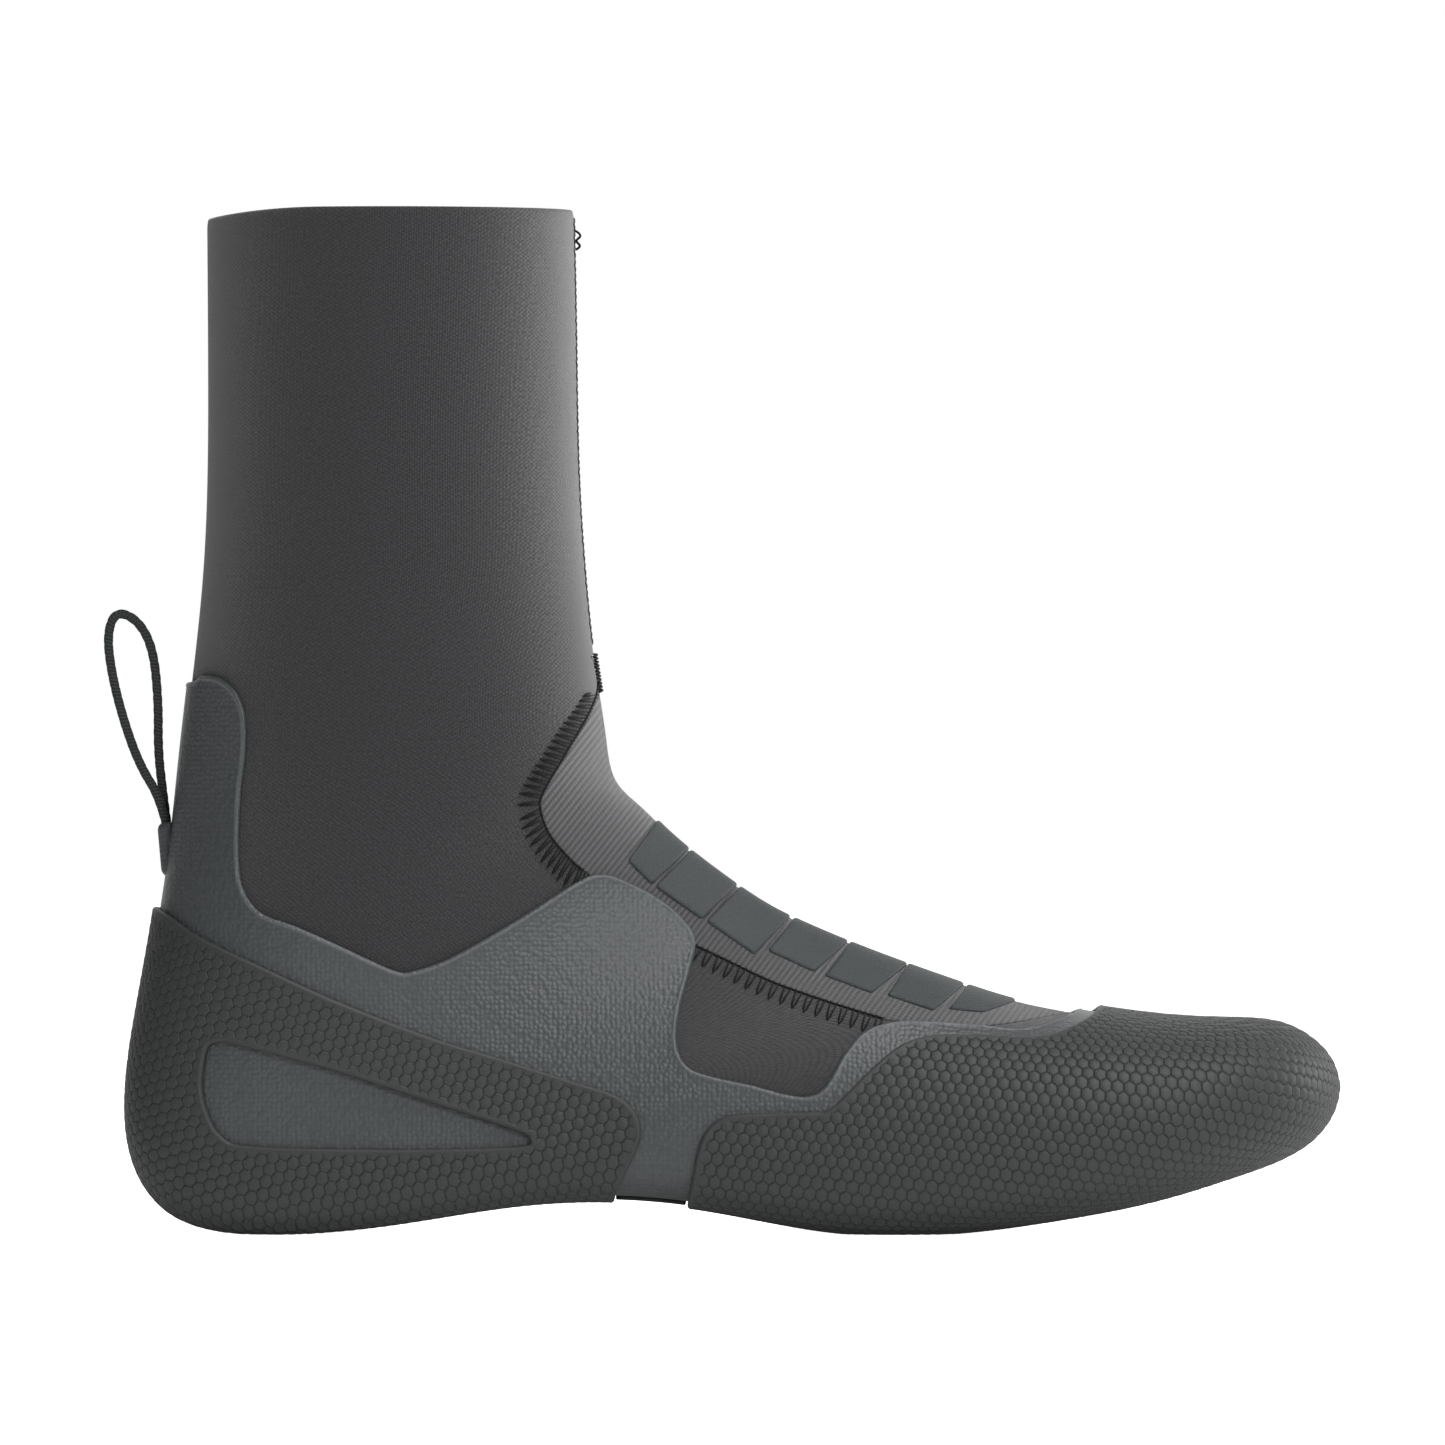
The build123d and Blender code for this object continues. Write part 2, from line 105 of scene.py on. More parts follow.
def smooth_curve(at, values):
    """A natural cubic spline through the values, as a function of the distance along it."""
    at, values = np.asarray(at, float), np.asarray(values, float)
    gap, count = np.diff(at), len(at)
    system, right = np.eye(count), np.zeros_like(values)
    for i in range(1, count - 1):
        system[i, i - 1:i + 2] = gap[i - 1], 2 * (gap[i - 1] + gap[i]), gap[i]
        right[i] = 6 * ((values[i + 1] - values[i]) / gap[i]
                        - (values[i] - values[i - 1]) / gap[i - 1])
    bend = np.linalg.solve(system, right)

    def read(s):
        i = np.clip(np.searchsorted(at, s, side="right") - 1, 0, count - 2)
        h, a, b = gap[i], at[i + 1] - s, s - at[i]
        h, a, b = (q.reshape(q.shape + (1,) * (values.ndim - 1)) for q in (h, a, b))
        return ((bend[i] * a ** 3 + bend[i + 1] * b ** 3) / (6 * h)
                + (values[i] / h - bend[i] * h / 6) * a
                + (values[i + 1] / h - bend[i + 1] * h / 6) * b)

    return read


rib_table = np.array([[*r[0], *r[1], *r[2:]] for r in RIBS])
rib_gaps = (np.hypot(*np.diff(rib_table[:, 0:2], axis=0).T)
            + np.hypot(*np.diff(rib_table[:, 2:4], axis=0).T)) / 2
rib_at = np.concatenate([[0], np.cumsum(rib_gaps)])
LAST_LENGTH = rib_at[-1]
rib_curve = smooth_curve(rib_at, rib_table)


def last_point(s, turn):
    """Point of the bare last a distance s down from the cuff, at a turn round the rib."""
    low_x, low_z, top_x, top_z, half, widest, sq_low, sq_up, shift = rib_curve(s).T
    power = (sq_low + sq_up) / 2 - (sq_low - sq_up) / 2 * np.sin(turn)
    reach = (abs(np.cos(turn)) ** power + abs(np.sin(turn)) ** power) ** (-1 / power)
    rise = np.clip((1 + reach * np.sin(turn)) / 2, 0, 1)
    rise = rise ** (np.log(widest) / np.log(0.5))
    side = shift + np.maximum(half, 0) * reach * np.cos(turn)
    return np.stack([low_x + (top_x - low_x) * rise, side, low_z + (top_z - low_z) * rise], -1)


def last_normal(s, turn):
    """Direction straight out of the last."""
    along = last_point(s + 0.2, turn) - last_point(s - 0.2, turn)
    around = last_point(s, turn + 0.004) - last_point(s, turn - 0.004)
    out = np.cross(around, along)
    size = np.linalg.norm(out, axis=-1, keepdims=True)
    tip = (size[:, 0] < 1e-4) | (s > LAST_LENGTH - 0.5)
    out = out / np.maximum(size, 1e-9)
    out[tip] = (1, 0, 0)
    return out


def on_last(s, turn, lift):
    """Point of a layer that lies lift millimetres outside the last."""
    return last_point(s, turn) + last_normal(s, turn) * np.reshape(lift, (-1, 1))


check = last_normal(np.array([30.0, 30.0]), np.array([0.0, pi / 2]))
print("last length", round(LAST_LENGTH), "mm; side and front normals", check.round(2).tolist())

# %% [markdown]
# ## Cutting sheets from the last
# Leather workers mark an outline and cut on the line.  A Boolean modifier could cut these
# sheets, but it leaves ragged edges that won't round over.  So each sheet starts as a fine grid
# on the last, and is cut along curves a set distance inside its outline: the outermost curve is
# the edge itself, and the next few carry the rounded shoulder of the moulded rubber.

# %% Outlines as smooth closed curves, and the distance from them
def smooth_outline(points, closed=True, steps=6):
    """Catmull-Rom curve through the marked points of an outline."""
    p = np.asarray(points, float)
    count = len(p)
    if closed:
        before, after, last_two = np.roll(p, 1, 0), np.roll(p, -1, 0), np.roll(p, -2, 0)
        runs = range(count)
    else:
        before = np.vstack([2 * p[0] - p[1], p[:-1]])
        after = np.vstack([p[1:], 2 * p[-1] - p[-2]])
        last_two = np.vstack([p[2:], 2 * p[-1] - p[-2], 3 * p[-1] - 2 * p[-2]])
        runs = range(count - 1)
    out = []
    for i in runs:
        for t in np.arange(steps) / steps:
            a, b, c, d = before[i], p[i], after[i], last_two[i]
            out.append(0.5 * (2 * b + (c - a) * t + (2 * a - 5 * b + 4 * c - d) * t ** 2
                              + (3 * b - a - 3 * c + d) * t ** 3))
    if not closed:
        out.append(p[-1])
    return np.array(out)


def side_distance(xz, outline):
    """Signed distance to a closed side outline, plus inside, and the way to its nearest point."""
    start, end = outline, np.roll(outline, -1, 0)
    run = end - start
    run_sq = np.maximum((run ** 2).sum(1), 1e-12)
    dist = np.empty(len(xz))
    way = np.empty((len(xz), 2))
    inside = np.empty(len(xz), bool)
    for first in range(0, len(xz), 20000):
        q = xz[first:first + 20000]
        rel = q[:, None] - start[None]
        t = np.clip((rel * run).sum(2) / run_sq, 0, 1)
        off = rel - t[..., None] * run
        d2 = (off ** 2).sum(2)
        near = d2.argmin(1)
        pick = np.arange(len(q))
        dist[first:first + len(q)] = np.sqrt(d2[pick, near])
        way[first:first + len(q)] = off[pick, near]
        x, z = q[:, :1], q[:, 1:]
        crosses = (start[:, 1] > z) != (end[:, 1] > z)
        at_x = start[:, 0] + (z - start[:, 1]) * run[:, 0] / np.where(run[:, 1] == 0, 1e-9,
                                                                     run[:, 1])
        inside[first:first + len(q)] = ((crosses & (x < at_x)).sum(1) % 2).astype(bool)
    way /= np.maximum(dist, 1e-9)[:, None]
    return np.where(inside, dist, -dist), way


def surface_distance(points, normals, outline):
    """Distance from a side outline, measured along the slanting surface instead of in side view."""
    d, way = side_distance(points[:, [0, 2]], outline)
    slant = way[:, 0] * normals[:, 0] + way[:, 1] * normals[:, 2]
    return d / np.sqrt(np.clip(1 - slant ** 2, 0.12, 1))


# %% The sheet cutter
def grid_on_last(s_from, s_to, step, round_count):
    """Rows down the last and columns round it, as triangles; the first and last columns meet."""
    rows = np.linspace(s_from, s_to, max(2, int((s_to - s_from) / step) + 1))
    columns = np.linspace(-pi / 2, 3 * pi / 2, round_count + 1)
    s, turn = np.meshgrid(rows, columns, indexing="ij")
    index = np.arange(s.size).reshape(s.shape)
    a, b, c, d = index[:-1, :-1], index[1:, :-1], index[1:, 1:], index[:-1, 1:]
    faces = np.concatenate([np.stack([a, c, b], -1).reshape(-1, 3),
                            np.stack([a, d, c], -1).reshape(-1, 3)])
    return np.stack([s.ravel(), turn.ravel()], 1), faces


def cut_at(marks, faces, field, level):
    """Splits every triangle that a level line of the field crosses, along that line."""
    f = field - level
    f[abs(f) < 1e-4] = 1e-4
    up = f > 0
    ups = up[faces].sum(1)
    crossed = (ups == 1) | (ups == 2)
    kept, split = faces[~crossed], faces[crossed]
    if not len(split):
        return marks, faces, field
    alone = up[split] == (ups[crossed] == 1)[:, None]
    turn_by = alone.argmax(1)
    pick = np.arange(len(split))
    tri = np.stack([split[pick, (turn_by + k) % 3] for k in range(3)], 1)
    pairs = np.sort(np.concatenate([tri[:, [0, 1]], tri[:, [0, 2]]]), 1)
    edges, back = np.unique(pairs, axis=0, return_inverse=True)
    back = back.ravel()
    share = f[edges[:, 0]] / (f[edges[:, 0]] - f[edges[:, 1]])
    share = share[:, None]
    new_marks = marks[edges[:, 0]] * (1 - share) + marks[edges[:, 1]] * share
    ids = len(marks) + back
    n1, n2 = ids[:len(tri)], ids[len(tri):]
    pieces = [np.stack([tri[:, 0], n1, n2], 1), np.stack([n1, tri[:, 1], tri[:, 2]], 1),
              np.stack([n1, tri[:, 2], n2], 1)]
    return (np.vstack([marks, new_marks]), np.concatenate([kept, *pieces]),
            np.concatenate([field, np.full(len(edges), level)]))


def shoulder(d, radius):
    """Quarter round: 0 at the edge, 1 once the distance passes the radius."""
    x = np.clip(d / radius, 0, 1)
    return np.sqrt(np.clip(1 - (1 - x) ** 2, 0, 1))


SHOULDER_LINES = (0.0, 0.06, 0.2, 0.45, 0.75, 1.0)


def weave_marks(marks):
    """Distances round and along the last in mm, the map that a knit or grain follows."""
    s, turn = marks[:, 0], marks[:, 1]
    ring = weave_tables
    i = np.clip(np.searchsorted(ring["s"], s) - 1, 0, len(ring["s"]) - 2)
    j = np.clip(np.searchsorted(ring["turn"], turn) - 1, 0, len(ring["turn"]) - 2)
    a = (s - ring["s"][i]) / (ring["s"][i + 1] - ring["s"][i])
    b = (turn - ring["turn"][j]) / (ring["turn"][j + 1] - ring["turn"][j])
    out = []
    for table in (ring["round"], ring["along"]):
        out.append(table[i, j] * (1 - a) * (1 - b) + table[i + 1, j] * a * (1 - b)
                   + table[i, j + 1] * (1 - a) * b + table[i + 1, j + 1] * a * b)
    return np.stack(out, 1)


def measure_weave():
    """Tables of arc length round each rib, from the outer side, and along each column."""
    rows = np.linspace(0, LAST_LENGTH, 180)
    columns = np.linspace(-pi / 2, 3 * pi / 2, 145)
    s, turn = np.meshgrid(rows, columns, indexing="ij")
    p = last_point(s.ravel(), turn.ravel()).reshape(*s.shape, 3)
    round_by = np.concatenate([np.zeros((len(rows), 1)),
                               np.cumsum(np.linalg.norm(np.diff(p, axis=1), axis=2), 1)], 1)
    side_column = int(np.argmin(abs(columns - pi)))
    round_by -= round_by[:, side_column:side_column + 1]
    along_by = np.concatenate([np.zeros((1, len(columns))),
                               np.cumsum(np.linalg.norm(np.diff(p, axis=0), axis=2), 0)], 0)
    return {"s": rows, "turn": columns, "round": round_by, "along": along_by}


weave_tables = measure_weave()


def cut_sheet(name, inner, outer, fields, radius, s_range=(0.0, None), step=1.5, round_count=170,
              relief=None, floor=False, lines=()):
    """A closed sheet between two heights over the last, cut on its outline with a round shoulder.

    fields(points, normals) gives the distance inside the outline; relief(d, marks) adds a
    moulded pattern to the outer face, from the distance inside the outline, and returns it with
    a 0 to 1 mask for the material's painted highlight or shade and the pattern's own map, or None.
    """
    s_to = LAST_LENGTH if s_range[1] is None else s_range[1]
    marks, faces = grid_on_last(s_range[0], s_to, step, round_count)
    points = on_last(marks[:, 0], marks[:, 1], np.full(len(marks), outer))
    field = fields(points, last_normal(marks[:, 0], marks[:, 1]))
    field = np.minimum(field, 40.0)
    for share in (*SHOULDER_LINES, *[q / radius for q in lines]):
        marks, faces, field = cut_at(marks, faces, field, share * radius)
    faces = faces[(field[faces].min(1) > -1e-3)]
    used, faces = np.unique(faces, return_inverse=True)
    faces = faces.reshape(-1, 3)
    marks, field = marks[used], np.maximum(field[used], 0)
    rim = max(inner + 0.12, outer - radius)
    height = rim + (outer - rim) * shoulder(field, radius)
    painted_light_mask, cells = np.zeros(len(marks)), None
    if relief is not None:
        extra, painted_light_mask, cells = relief(field, marks)
        height = height + extra
    top = on_last(marks[:, 0], marks[:, 1], height)
    low = on_last(marks[:, 0], marks[:, 1], np.full(len(marks), inner))
    if floor:
        top[:, 2], low[:, 2] = np.maximum(top[:, 2], 0.0), np.maximum(low[:, 2], HAIR)
    key = np.round(on_last(marks[:, 0], marks[:, 1], np.zeros(len(marks))), 3)
    _, first, weld = np.unique(key, axis=0, return_index=True, return_inverse=True)
    weld = weld.ravel()
    welded = weld[faces]
    good = ((welded[:, 0] != welded[:, 1]) & (welded[:, 1] != welded[:, 2])
            & (welded[:, 2] != welded[:, 0]))
    faces, welded = faces[good], welded[good]
    count = len(first)
    sides = np.concatenate([welded[:, [0, 1]], welded[:, [1, 2]], welded[:, [2, 0]]])
    there = set(map(tuple, sides.tolist()))
    border = np.array([e for e in there if (e[1], e[0]) not in there], int).reshape(-1, 2)
    walls = np.concatenate([
        np.stack([border[:, 1], border[:, 0], border[:, 0] + count], 1),
        np.stack([border[:, 1], border[:, 0] + count, border[:, 1] + count], 1)])
    uv = weave_marks(marks)
    corner_uv = np.concatenate([uv[faces].reshape(-1, 2), uv[faces[:, ::-1]].reshape(-1, 2),
                                uv[first][walls % count].reshape(-1, 2)])
    solid = np.concatenate([welded, welded[:, ::-1] + count, walls])
    points = (np.vstack([top[first], low[first]]) + SHIFT) * MM
    mesh = bpy.data.meshes.new(name)
    mesh.from_pydata(points.tolist(), [], solid.tolist())
    layer = mesh.uv_layers.new(name="around_and_along")
    layer.data.foreach_set("uv", (corner_uv * MM).astype(np.float32).ravel())
    side_view = points[solid.ravel()][:, [0, 2]]
    layer = mesh.uv_layers.new(name="side_view")
    layer.data.foreach_set("uv", side_view.astype(np.float32).ravel())
    if cells is not None:
        cells = np.concatenate([cells[faces].reshape(-1, 2), cells[faces[:, ::-1]].reshape(-1, 2),
                                cells[first][walls % count].reshape(-1, 2)])
        layer = mesh.uv_layers.new(name="hexagon_map")
        layer.data.foreach_set("uv", (cells * MM).astype(np.float32).ravel())
    # The mask tells the material where to paint a highlight along the overlay's bead and shade in
    # the caps' hexagon grooves.
    attribute = mesh.attributes.new("groove_and_painted_light", "FLOAT", "POINT")
    attribute.data.foreach_set("value", np.concatenate([painted_light_mask[first], painted_light_mask[first] * 0])
                               .astype(np.float32))
    mesh.polygons.foreach_set("use_smooth", np.ones(len(solid), bool))
    mesh.validate()
    piece = bpy.data.objects.new(name, mesh)
    bpy.context.scene.collection.objects.link(piece)
    inner_face = piece.vertex_groups.new(name="inner_face")
    inner_face.add(list(range(count, 2 * count)), 1.0, "REPLACE")
    print(f"{name}: {len(solid)} triangles, {len(border)} edges round the rim")
    return piece


def select_only(piece):
    """Nothing else is selected, so an operator acts on this piece alone."""
    bpy.ops.object.select_all(action="DESELECT")
    piece.select_set(True)
    bpy.context.view_layer.objects.active = piece


def thin_inner_face(piece, keep):
    """The hidden inner face needs few triangles, so Decimate thins it and leaves the outside."""
    select_only(piece)
    thin = piece.modifiers.new("thin_inner", "DECIMATE")
    thin.vertex_group = "inner_face"
    thin.ratio = keep
    bpy.ops.object.modifier_apply(modifier=thin.name)
    print(f"{piece.name}: {len(piece.data.polygons)} triangles once the inner face is thinned")


# %% [markdown]
# ## The outlines
# A pattern maker draws each panel on the side of the last.  Both sides of this boot share one
# drawing, so an outline is a few marked points in side view, and the cut runs straight across.

# %% Panel outlines in side view
OVERLAY_EDGE = [
    (-150, 131), (-130.6, 132), (-127, 133.5), (-122.5, 132.8), (-118.6, 129.3), (-116.6, 123.5),
    (-116.5, 115), (-117.7, 104), (-117.9, 90), (-116.6, 82.5), (-112.3, 77), (-103.7, 73.7),
    (-92.9, 68.9), (-80.9, 63.4), (-76.3, 63), (-66.5, 66.5), (-50.9, 75.4), (-36.5, 84.5),
    (-30.5, 86.2), (-24, 84), (-16.3, 79.7), (-10.8, 74.6), (-8.6, 70), (-10.1, 63.1),
    (-12.5, 54), (-13.2, 46.6), (-11.5, 41.5), (-7.4, 38.9), (3.1, 36.5), (19.2, 33.6),
    (26.9, 43.9), (31.7, 49), (37.2, 50.9), (43.4, 51.4), (59, 50.4), (67.4, 49.4),
    (75, 50.5), (84.7, 54.7), (92, 62),
]
TOE_CAP_EDGE = [
    (-10.8, 6.5), (-9.4, 13.9), (-8.2, 20.6), (-6, 25.6), (-2.2, 28.4), (3.4, 29.3), (18.2, 29.8),
    (23.3, 30.7), (31.9, 39.1), (37.7, 44.2), (43, 47.1), (50.4, 48.4), (60.7, 48.2), (71, 47.8),
    (78, 49), (87.1, 53.8), (93, 62),
]
HEEL_CAP_EDGE = [
    (-150, 84), (-136.8, 77.2), (-127.7, 71.5), (-113, 64.6), (-96.5, 57.1), (-82.8, 51.6),
    (-69.1, 46.6), (-55.2, 42.5), (-36, 36.5), (-28.6, 34.1), (-24, 31), (-21.8, 26.3),
    (-22.6, 20.9), (-28.1, 8.4),
]
HEEL_WINDOW = [
    (-125.3, 44.4), (-122.8, 46), (-118, 45.5), (-96.5, 39.8), (-82.8, 35.5), (-69.1, 31),
    (-51.2, 25.1), (-48.4, 23.3), (-50.4, 21.5), (-69.1, 20.9), (-87.4, 20.8), (-115, 21.5),
    (-121.8, 24), (-125, 29.3), (-126.5, 36),
]
THROAT_SEAM = [
    (-33.8, 138.5), (-32.2, 131.8), (-34.1, 125), (-39.8, 115), (-45.2, 105.6), (-45.8, 101.5),
    (-43.6, 95.5), (-38.6, 89.5), (-35, 86.4),
]
INSTEP_SEAM = [
    (-22.1, 76.1), (-8.6, 68.9), (-1.4, 65.5), (8.4, 60.8), (17.5, 57.4), (27, 54.3), (36.7, 51.4),
    (59.5, 49.9), (82.3, 53.3),
]
SOLE_LINE = [(-150, 15), (-125, 12), (-90, 13), (-48, 18), (-10, 17.5), (30, 12), (60, 12.5),
             (95, 18), (122, 26), (150, 36)]
PADS = [
    [(-17.8, 98.9), (-10.7, 91.7), (-19.0, 83.8), (-24.7, 89.5)],
    [(-10.3, 91.4), (0.5, 82.8), (-7.0, 75.5), (-18.2, 83.3)],
    [(1.1, 82.3), (13.4, 75.5), (5.4, 67.2), (-6.0, 75.1)],
    [(14.3, 75.0), (26.9, 69.4), (19.7, 63.1), (8.6, 68.2)],
    [(27.7, 69.1), (41.3, 64.2), (33.4, 58.1), (22.3, 62.2)],
    [(41.8, 64.1), (55.0, 59.5), (48.1, 54.0), (37.1, 57.6)],
    [(55.9, 59.0), (66.5, 55.7), (60.0, 53.6), (51.8, 54.4)],
]
FAR = 300.0


def below(edge):
    """Closed outline of everything under a smooth edge that runs from heel to toe."""
    curve = smooth_outline(edge, closed=False)
    return np.vstack([[(-FAR, curve[0][1])], curve,
                      [(FAR, curve[-1][1]), (FAR, -FAR), (-FAR, -FAR)]])


overlay_outline = below(OVERLAY_EDGE)
sole_outline = below(SOLE_LINE)
toe_curve = smooth_outline(TOE_CAP_EDGE, closed=False)
toe_outline = np.vstack([toe_curve, [(FAR, 62), (FAR, -FAR), (-10.8, -FAR)]])
heel_curve = smooth_outline(HEEL_CAP_EDGE, closed=False)
heel_outline = np.vstack([[(-FAR, 84)], heel_curve, [(-28.1, -FAR), (-FAR, -FAR)]])
window_outline = smooth_outline(HEEL_WINDOW)
seam_curve = smooth_outline(THROAT_SEAM + INSTEP_SEAM, closed=False)
instep_outline = np.vstack([seam_curve, [(95, 62), (95, 138.5)]])
print("outlines drawn:", len(overlay_outline), "points round the overlay")

# %% [markdown]
# ## The camera, and the pull loop
# The camera looks straight at the outer side of the boot through a long lens.  The loop is one
# piece of braided cord that leaves the rubber anchor, stands up behind the heel and goes back
# in.  A cord bends smoothly, so its line is a NURBS spline that listed points pull into
# shape, and the braid is a tube that follows that line.

# %% Camera
camera_data = bpy.data.cameras.new("camera")
camera = bpy.data.objects.new("camera", camera_data)
bpy.context.scene.collection.objects.link(camera)
CAMERA_AWAY = 5.0
FRAME_WIDTH = 0.3468
camera.location = (-0.00213, -CAMERA_AWAY, 0.1223)
camera.rotation_euler = (radians(90), 0, 0)
camera_data.sensor_width = 36
camera_data.lens = 36 * CAMERA_AWAY / FRAME_WIDTH
camera_data.clip_end = 20
bpy.context.scene.camera = camera
print("lens", round(camera_data.lens), "mm")

# %% Line of the pull loop
CORD_DIAMETER = 2.2
CORD_SPACING = 2.9
LOBE = np.array(frame["joints"][1]["pos_m"]) / MM
LOOP = [
    (0.0, -1, 0.0), (-1.6, -1, 7.2), (-6.6, -0.85, 15.2), (-10.4, -0.6, 25.6), (-13.4, -0.35, 37.2),
    (-14.5, -0.15, 46.9), (-12.3, 0, 52.3), (-7.0, 0.15, 50.0), (-3.4, 0.35, 43.1),
    (-2.2, 0.6, 30.4), (-2.3, 0.85, 18.9), (-1.2, 1, 8.9), (0.0, 1, 0.0),
]
loop_curve = bpy.data.curves.new("loop_line", "CURVE")
loop_curve.dimensions = "3D"
spline = loop_curve.splines.new("NURBS")
spline.points.add(len(LOOP) - 1)
for point, (x, y, z) in zip(spline.points, LOOP):
    place = (LOBE + (x, y * CORD_SPACING / 2, z)) * MM
    point.co = (*place, 1)
spline.order_u = 3
spline.use_endpoint_u = True
spline.resolution_u = 16
loop_line = bpy.data.objects.new("loop_line", loop_curve)
bpy.context.scene.collection.objects.link(loop_line)
line_mesh = bpy.data.meshes.new_from_object(loop_line)
loop_points = np.array([v.co for v in line_mesh.vertices])
bpy.data.objects.remove(loop_line)
bpy.data.meshes.remove(line_mesh)


# %% Tubes of thread and cord
def tube_rings(path, radius, around, relief=None):
    """Rings of points round a path, kept from twisting, with their distance along it."""
    path = np.asarray(path, float)
    way = np.gradient(path, axis=0)
    way /= np.linalg.norm(way, axis=1, keepdims=True)
    side = np.cross(way[0], (0.3, 0.9, 0.2))
    along = np.concatenate([[0], np.cumsum(np.linalg.norm(np.diff(path, axis=0), axis=1))])
    angle = np.arange(around) * 2 * pi / around
    rings = []
    for p, w, a in zip(path, way, along):
        side = side - w * side.dot(w)
        side /= np.linalg.norm(side)
        up = np.cross(w, side)
        r = radius * (1 if relief is None else relief(angle, a))
        r = np.broadcast_to(r, angle.shape)[:, None]
        rings.append(p + r * (np.cos(angle)[:, None] * side + np.sin(angle)[:, None] * up))
    return np.array(rings), along


def tubes(name, paths, radius, around=6, relief=None):
    """One mesh of closed tubes, one for each path, with UVs round and along each tube."""
    points, faces, uvs, base = [], [], [], 0
    for path in paths:
        rings, along = tube_rings(path, radius, around, relief)
        count = len(rings)
        points += rings.reshape(-1, 3).tolist() + [list(path[0]), list(path[-1])]
        for i in range(count - 1):
            for j in range(around):
                k = (j + 1) % around
                faces.append((base + i * around + j, base + i * around + k,
                              base + (i + 1) * around + k, base + (i + 1) * around + j))
                uvs += [(j / around, along[i]), ((j + 1) / around, along[i]),
                        ((j + 1) / around, along[i + 1]), (j / around, along[i + 1])]
        first, last = base + count * around, base + count * around + 1
        for j in range(around):
            k = (j + 1) % around
            faces.append((first, base + k, base + j))
            faces.append((last, base + (count - 1) * around + j, base + (count - 1) * around + k))
            uvs += [(0, 0)] * 6
        base += count * around + 2
    mesh = bpy.data.meshes.new(name)
    mesh.from_pydata(points, [], faces)
    mesh.uv_layers.new(name="round_and_along").data.foreach_set(
        "uv", np.array(uvs, np.float32).ravel())
    mesh.polygons.foreach_set("use_smooth", np.ones(len(faces), bool))
    piece = bpy.data.objects.new(name, mesh)
    bpy.context.scene.collection.objects.link(piece)
    select_only(piece)
    bpy.ops.object.mode_set(mode="EDIT")
    bpy.ops.mesh.select_all(action="SELECT")
    bpy.ops.mesh.normals_make_consistent(inside=False)
    bpy.ops.object.mode_set(mode="OBJECT")
    print(f"{name}: {len(paths)} tubes, {len(faces)} faces")
    return piece


BRAID_LAY = 5.2 * MM
STRANDS = 6


def braid(angle, along):
    """Strands laid over and under each other, as a swell and dip of the cord's radius."""
    turn = 2 * pi * along / BRAID_LAY
    one_way, other_way = np.cos(STRANDS * angle / 2 + turn), np.cos(STRANDS * angle / 2 - turn)
    return 0.86 + 0.17 * np.maximum(one_way ** 2, other_way ** 2)


pull_loop = tubes("braided_pull_loop", [loop_points], CORD_DIAMETER / 2 * MM, 20, braid)
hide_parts("pull_loop")
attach(pull_loop, "pull_loop")

# %% [markdown]
# ## The neoprene sock
# The sock is stretchy foam rubber faced with knit on both sides: a shaft and quarter cut as one
# sheet, a ribbed panel over the instep, a thicker board of foam under the foot and a thin knit
# lining.  Real panels butt edge to edge, so each sheet here stops at the same outline as its
# neighbour, with its edge slightly rounded, which leaves the fine valley of a real seam.

# %% The sheets of the sock
LINING_IN, LINING_OUT, INSOLE_IN = -5.0, -4.0, -7.5
OVERLAY_OUT, CAP_OUT = 1.2, 3.0
SEAM_ROUND = 0.45
CUFF_ROUND = 2.6
SEAM_GAP = 0.03
SOLE_START = 150.0                           # the sole pieces lie below this distance


def cuff_distance(points):
    """Distance below the cut edge of the cuff, which dips a little at the back."""
    edge = CUFF_HEIGHT - 2.2 * np.clip((-98.0 - points[:, 0]) / 28.0, 0, 1) ** 2
    return edge - points[:, 2]


def upper_field(points, normals):
    instep = surface_distance(points, normals, instep_outline)
    sole = surface_distance(points, normals, sole_outline)
    return np.minimum(np.minimum(-instep, -sole) - SEAM_GAP,
                      cuff_distance(points) * SEAM_ROUND / CUFF_ROUND)


def instep_field(points, normals):
    return surface_distance(points, normals, instep_outline) - SEAM_GAP


def sole_field(points, normals):
    return surface_distance(points, normals, sole_outline) - SEAM_GAP


def lining_field(points, _):
    return cuff_distance(points) - 0.25


insole_outline = below([(x, z - 1) for x, z in SOLE_LINE])


def insole_field(points, normals):
    return surface_distance(points, normals, insole_outline)


def bend_at_ankle(piece):
    """Bakes the piece's placement into its mesh, and does nothing more."""
    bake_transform(piece)


neoprene_upper = cut_sheet("neoprene_upper", LINING_OUT, 0.0, upper_field, SEAM_ROUND)
instep_knit = cut_sheet("ribbed_instep_panel", LINING_OUT, 0.0, instep_field, SEAM_ROUND,
                        s_range=(90.0, LAST_LENGTH * 0.93))
sole_foam = cut_sheet("sole_foam", LINING_OUT, -HAIR, sole_field, SEAM_ROUND,
                      s_range=(SOLE_START, None), step=3.0, round_count=120)
lining = cut_sheet("knit_lining", LINING_IN, LINING_OUT - HAIR, lining_field, 0.3,
                   step=2.4, round_count=120)
insole = cut_sheet("foam_insole", INSOLE_IN, LINING_IN - HAIR, insole_field, 1.0,
                   s_range=(SOLE_START, None), step=2.6, round_count=120)
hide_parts("quarter_panel", "ankle_panel", "shaft_panel")
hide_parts("instep_panel", "instep_throat")
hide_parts("sole_board")
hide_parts("foot_lining", "ankle_lining", "shaft_lining")
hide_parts("insole")
for piece in (neoprene_upper, instep_knit, lining):
    bend_at_ankle(piece)
for piece in (sole_foam, insole):
    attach(piece, "foot")

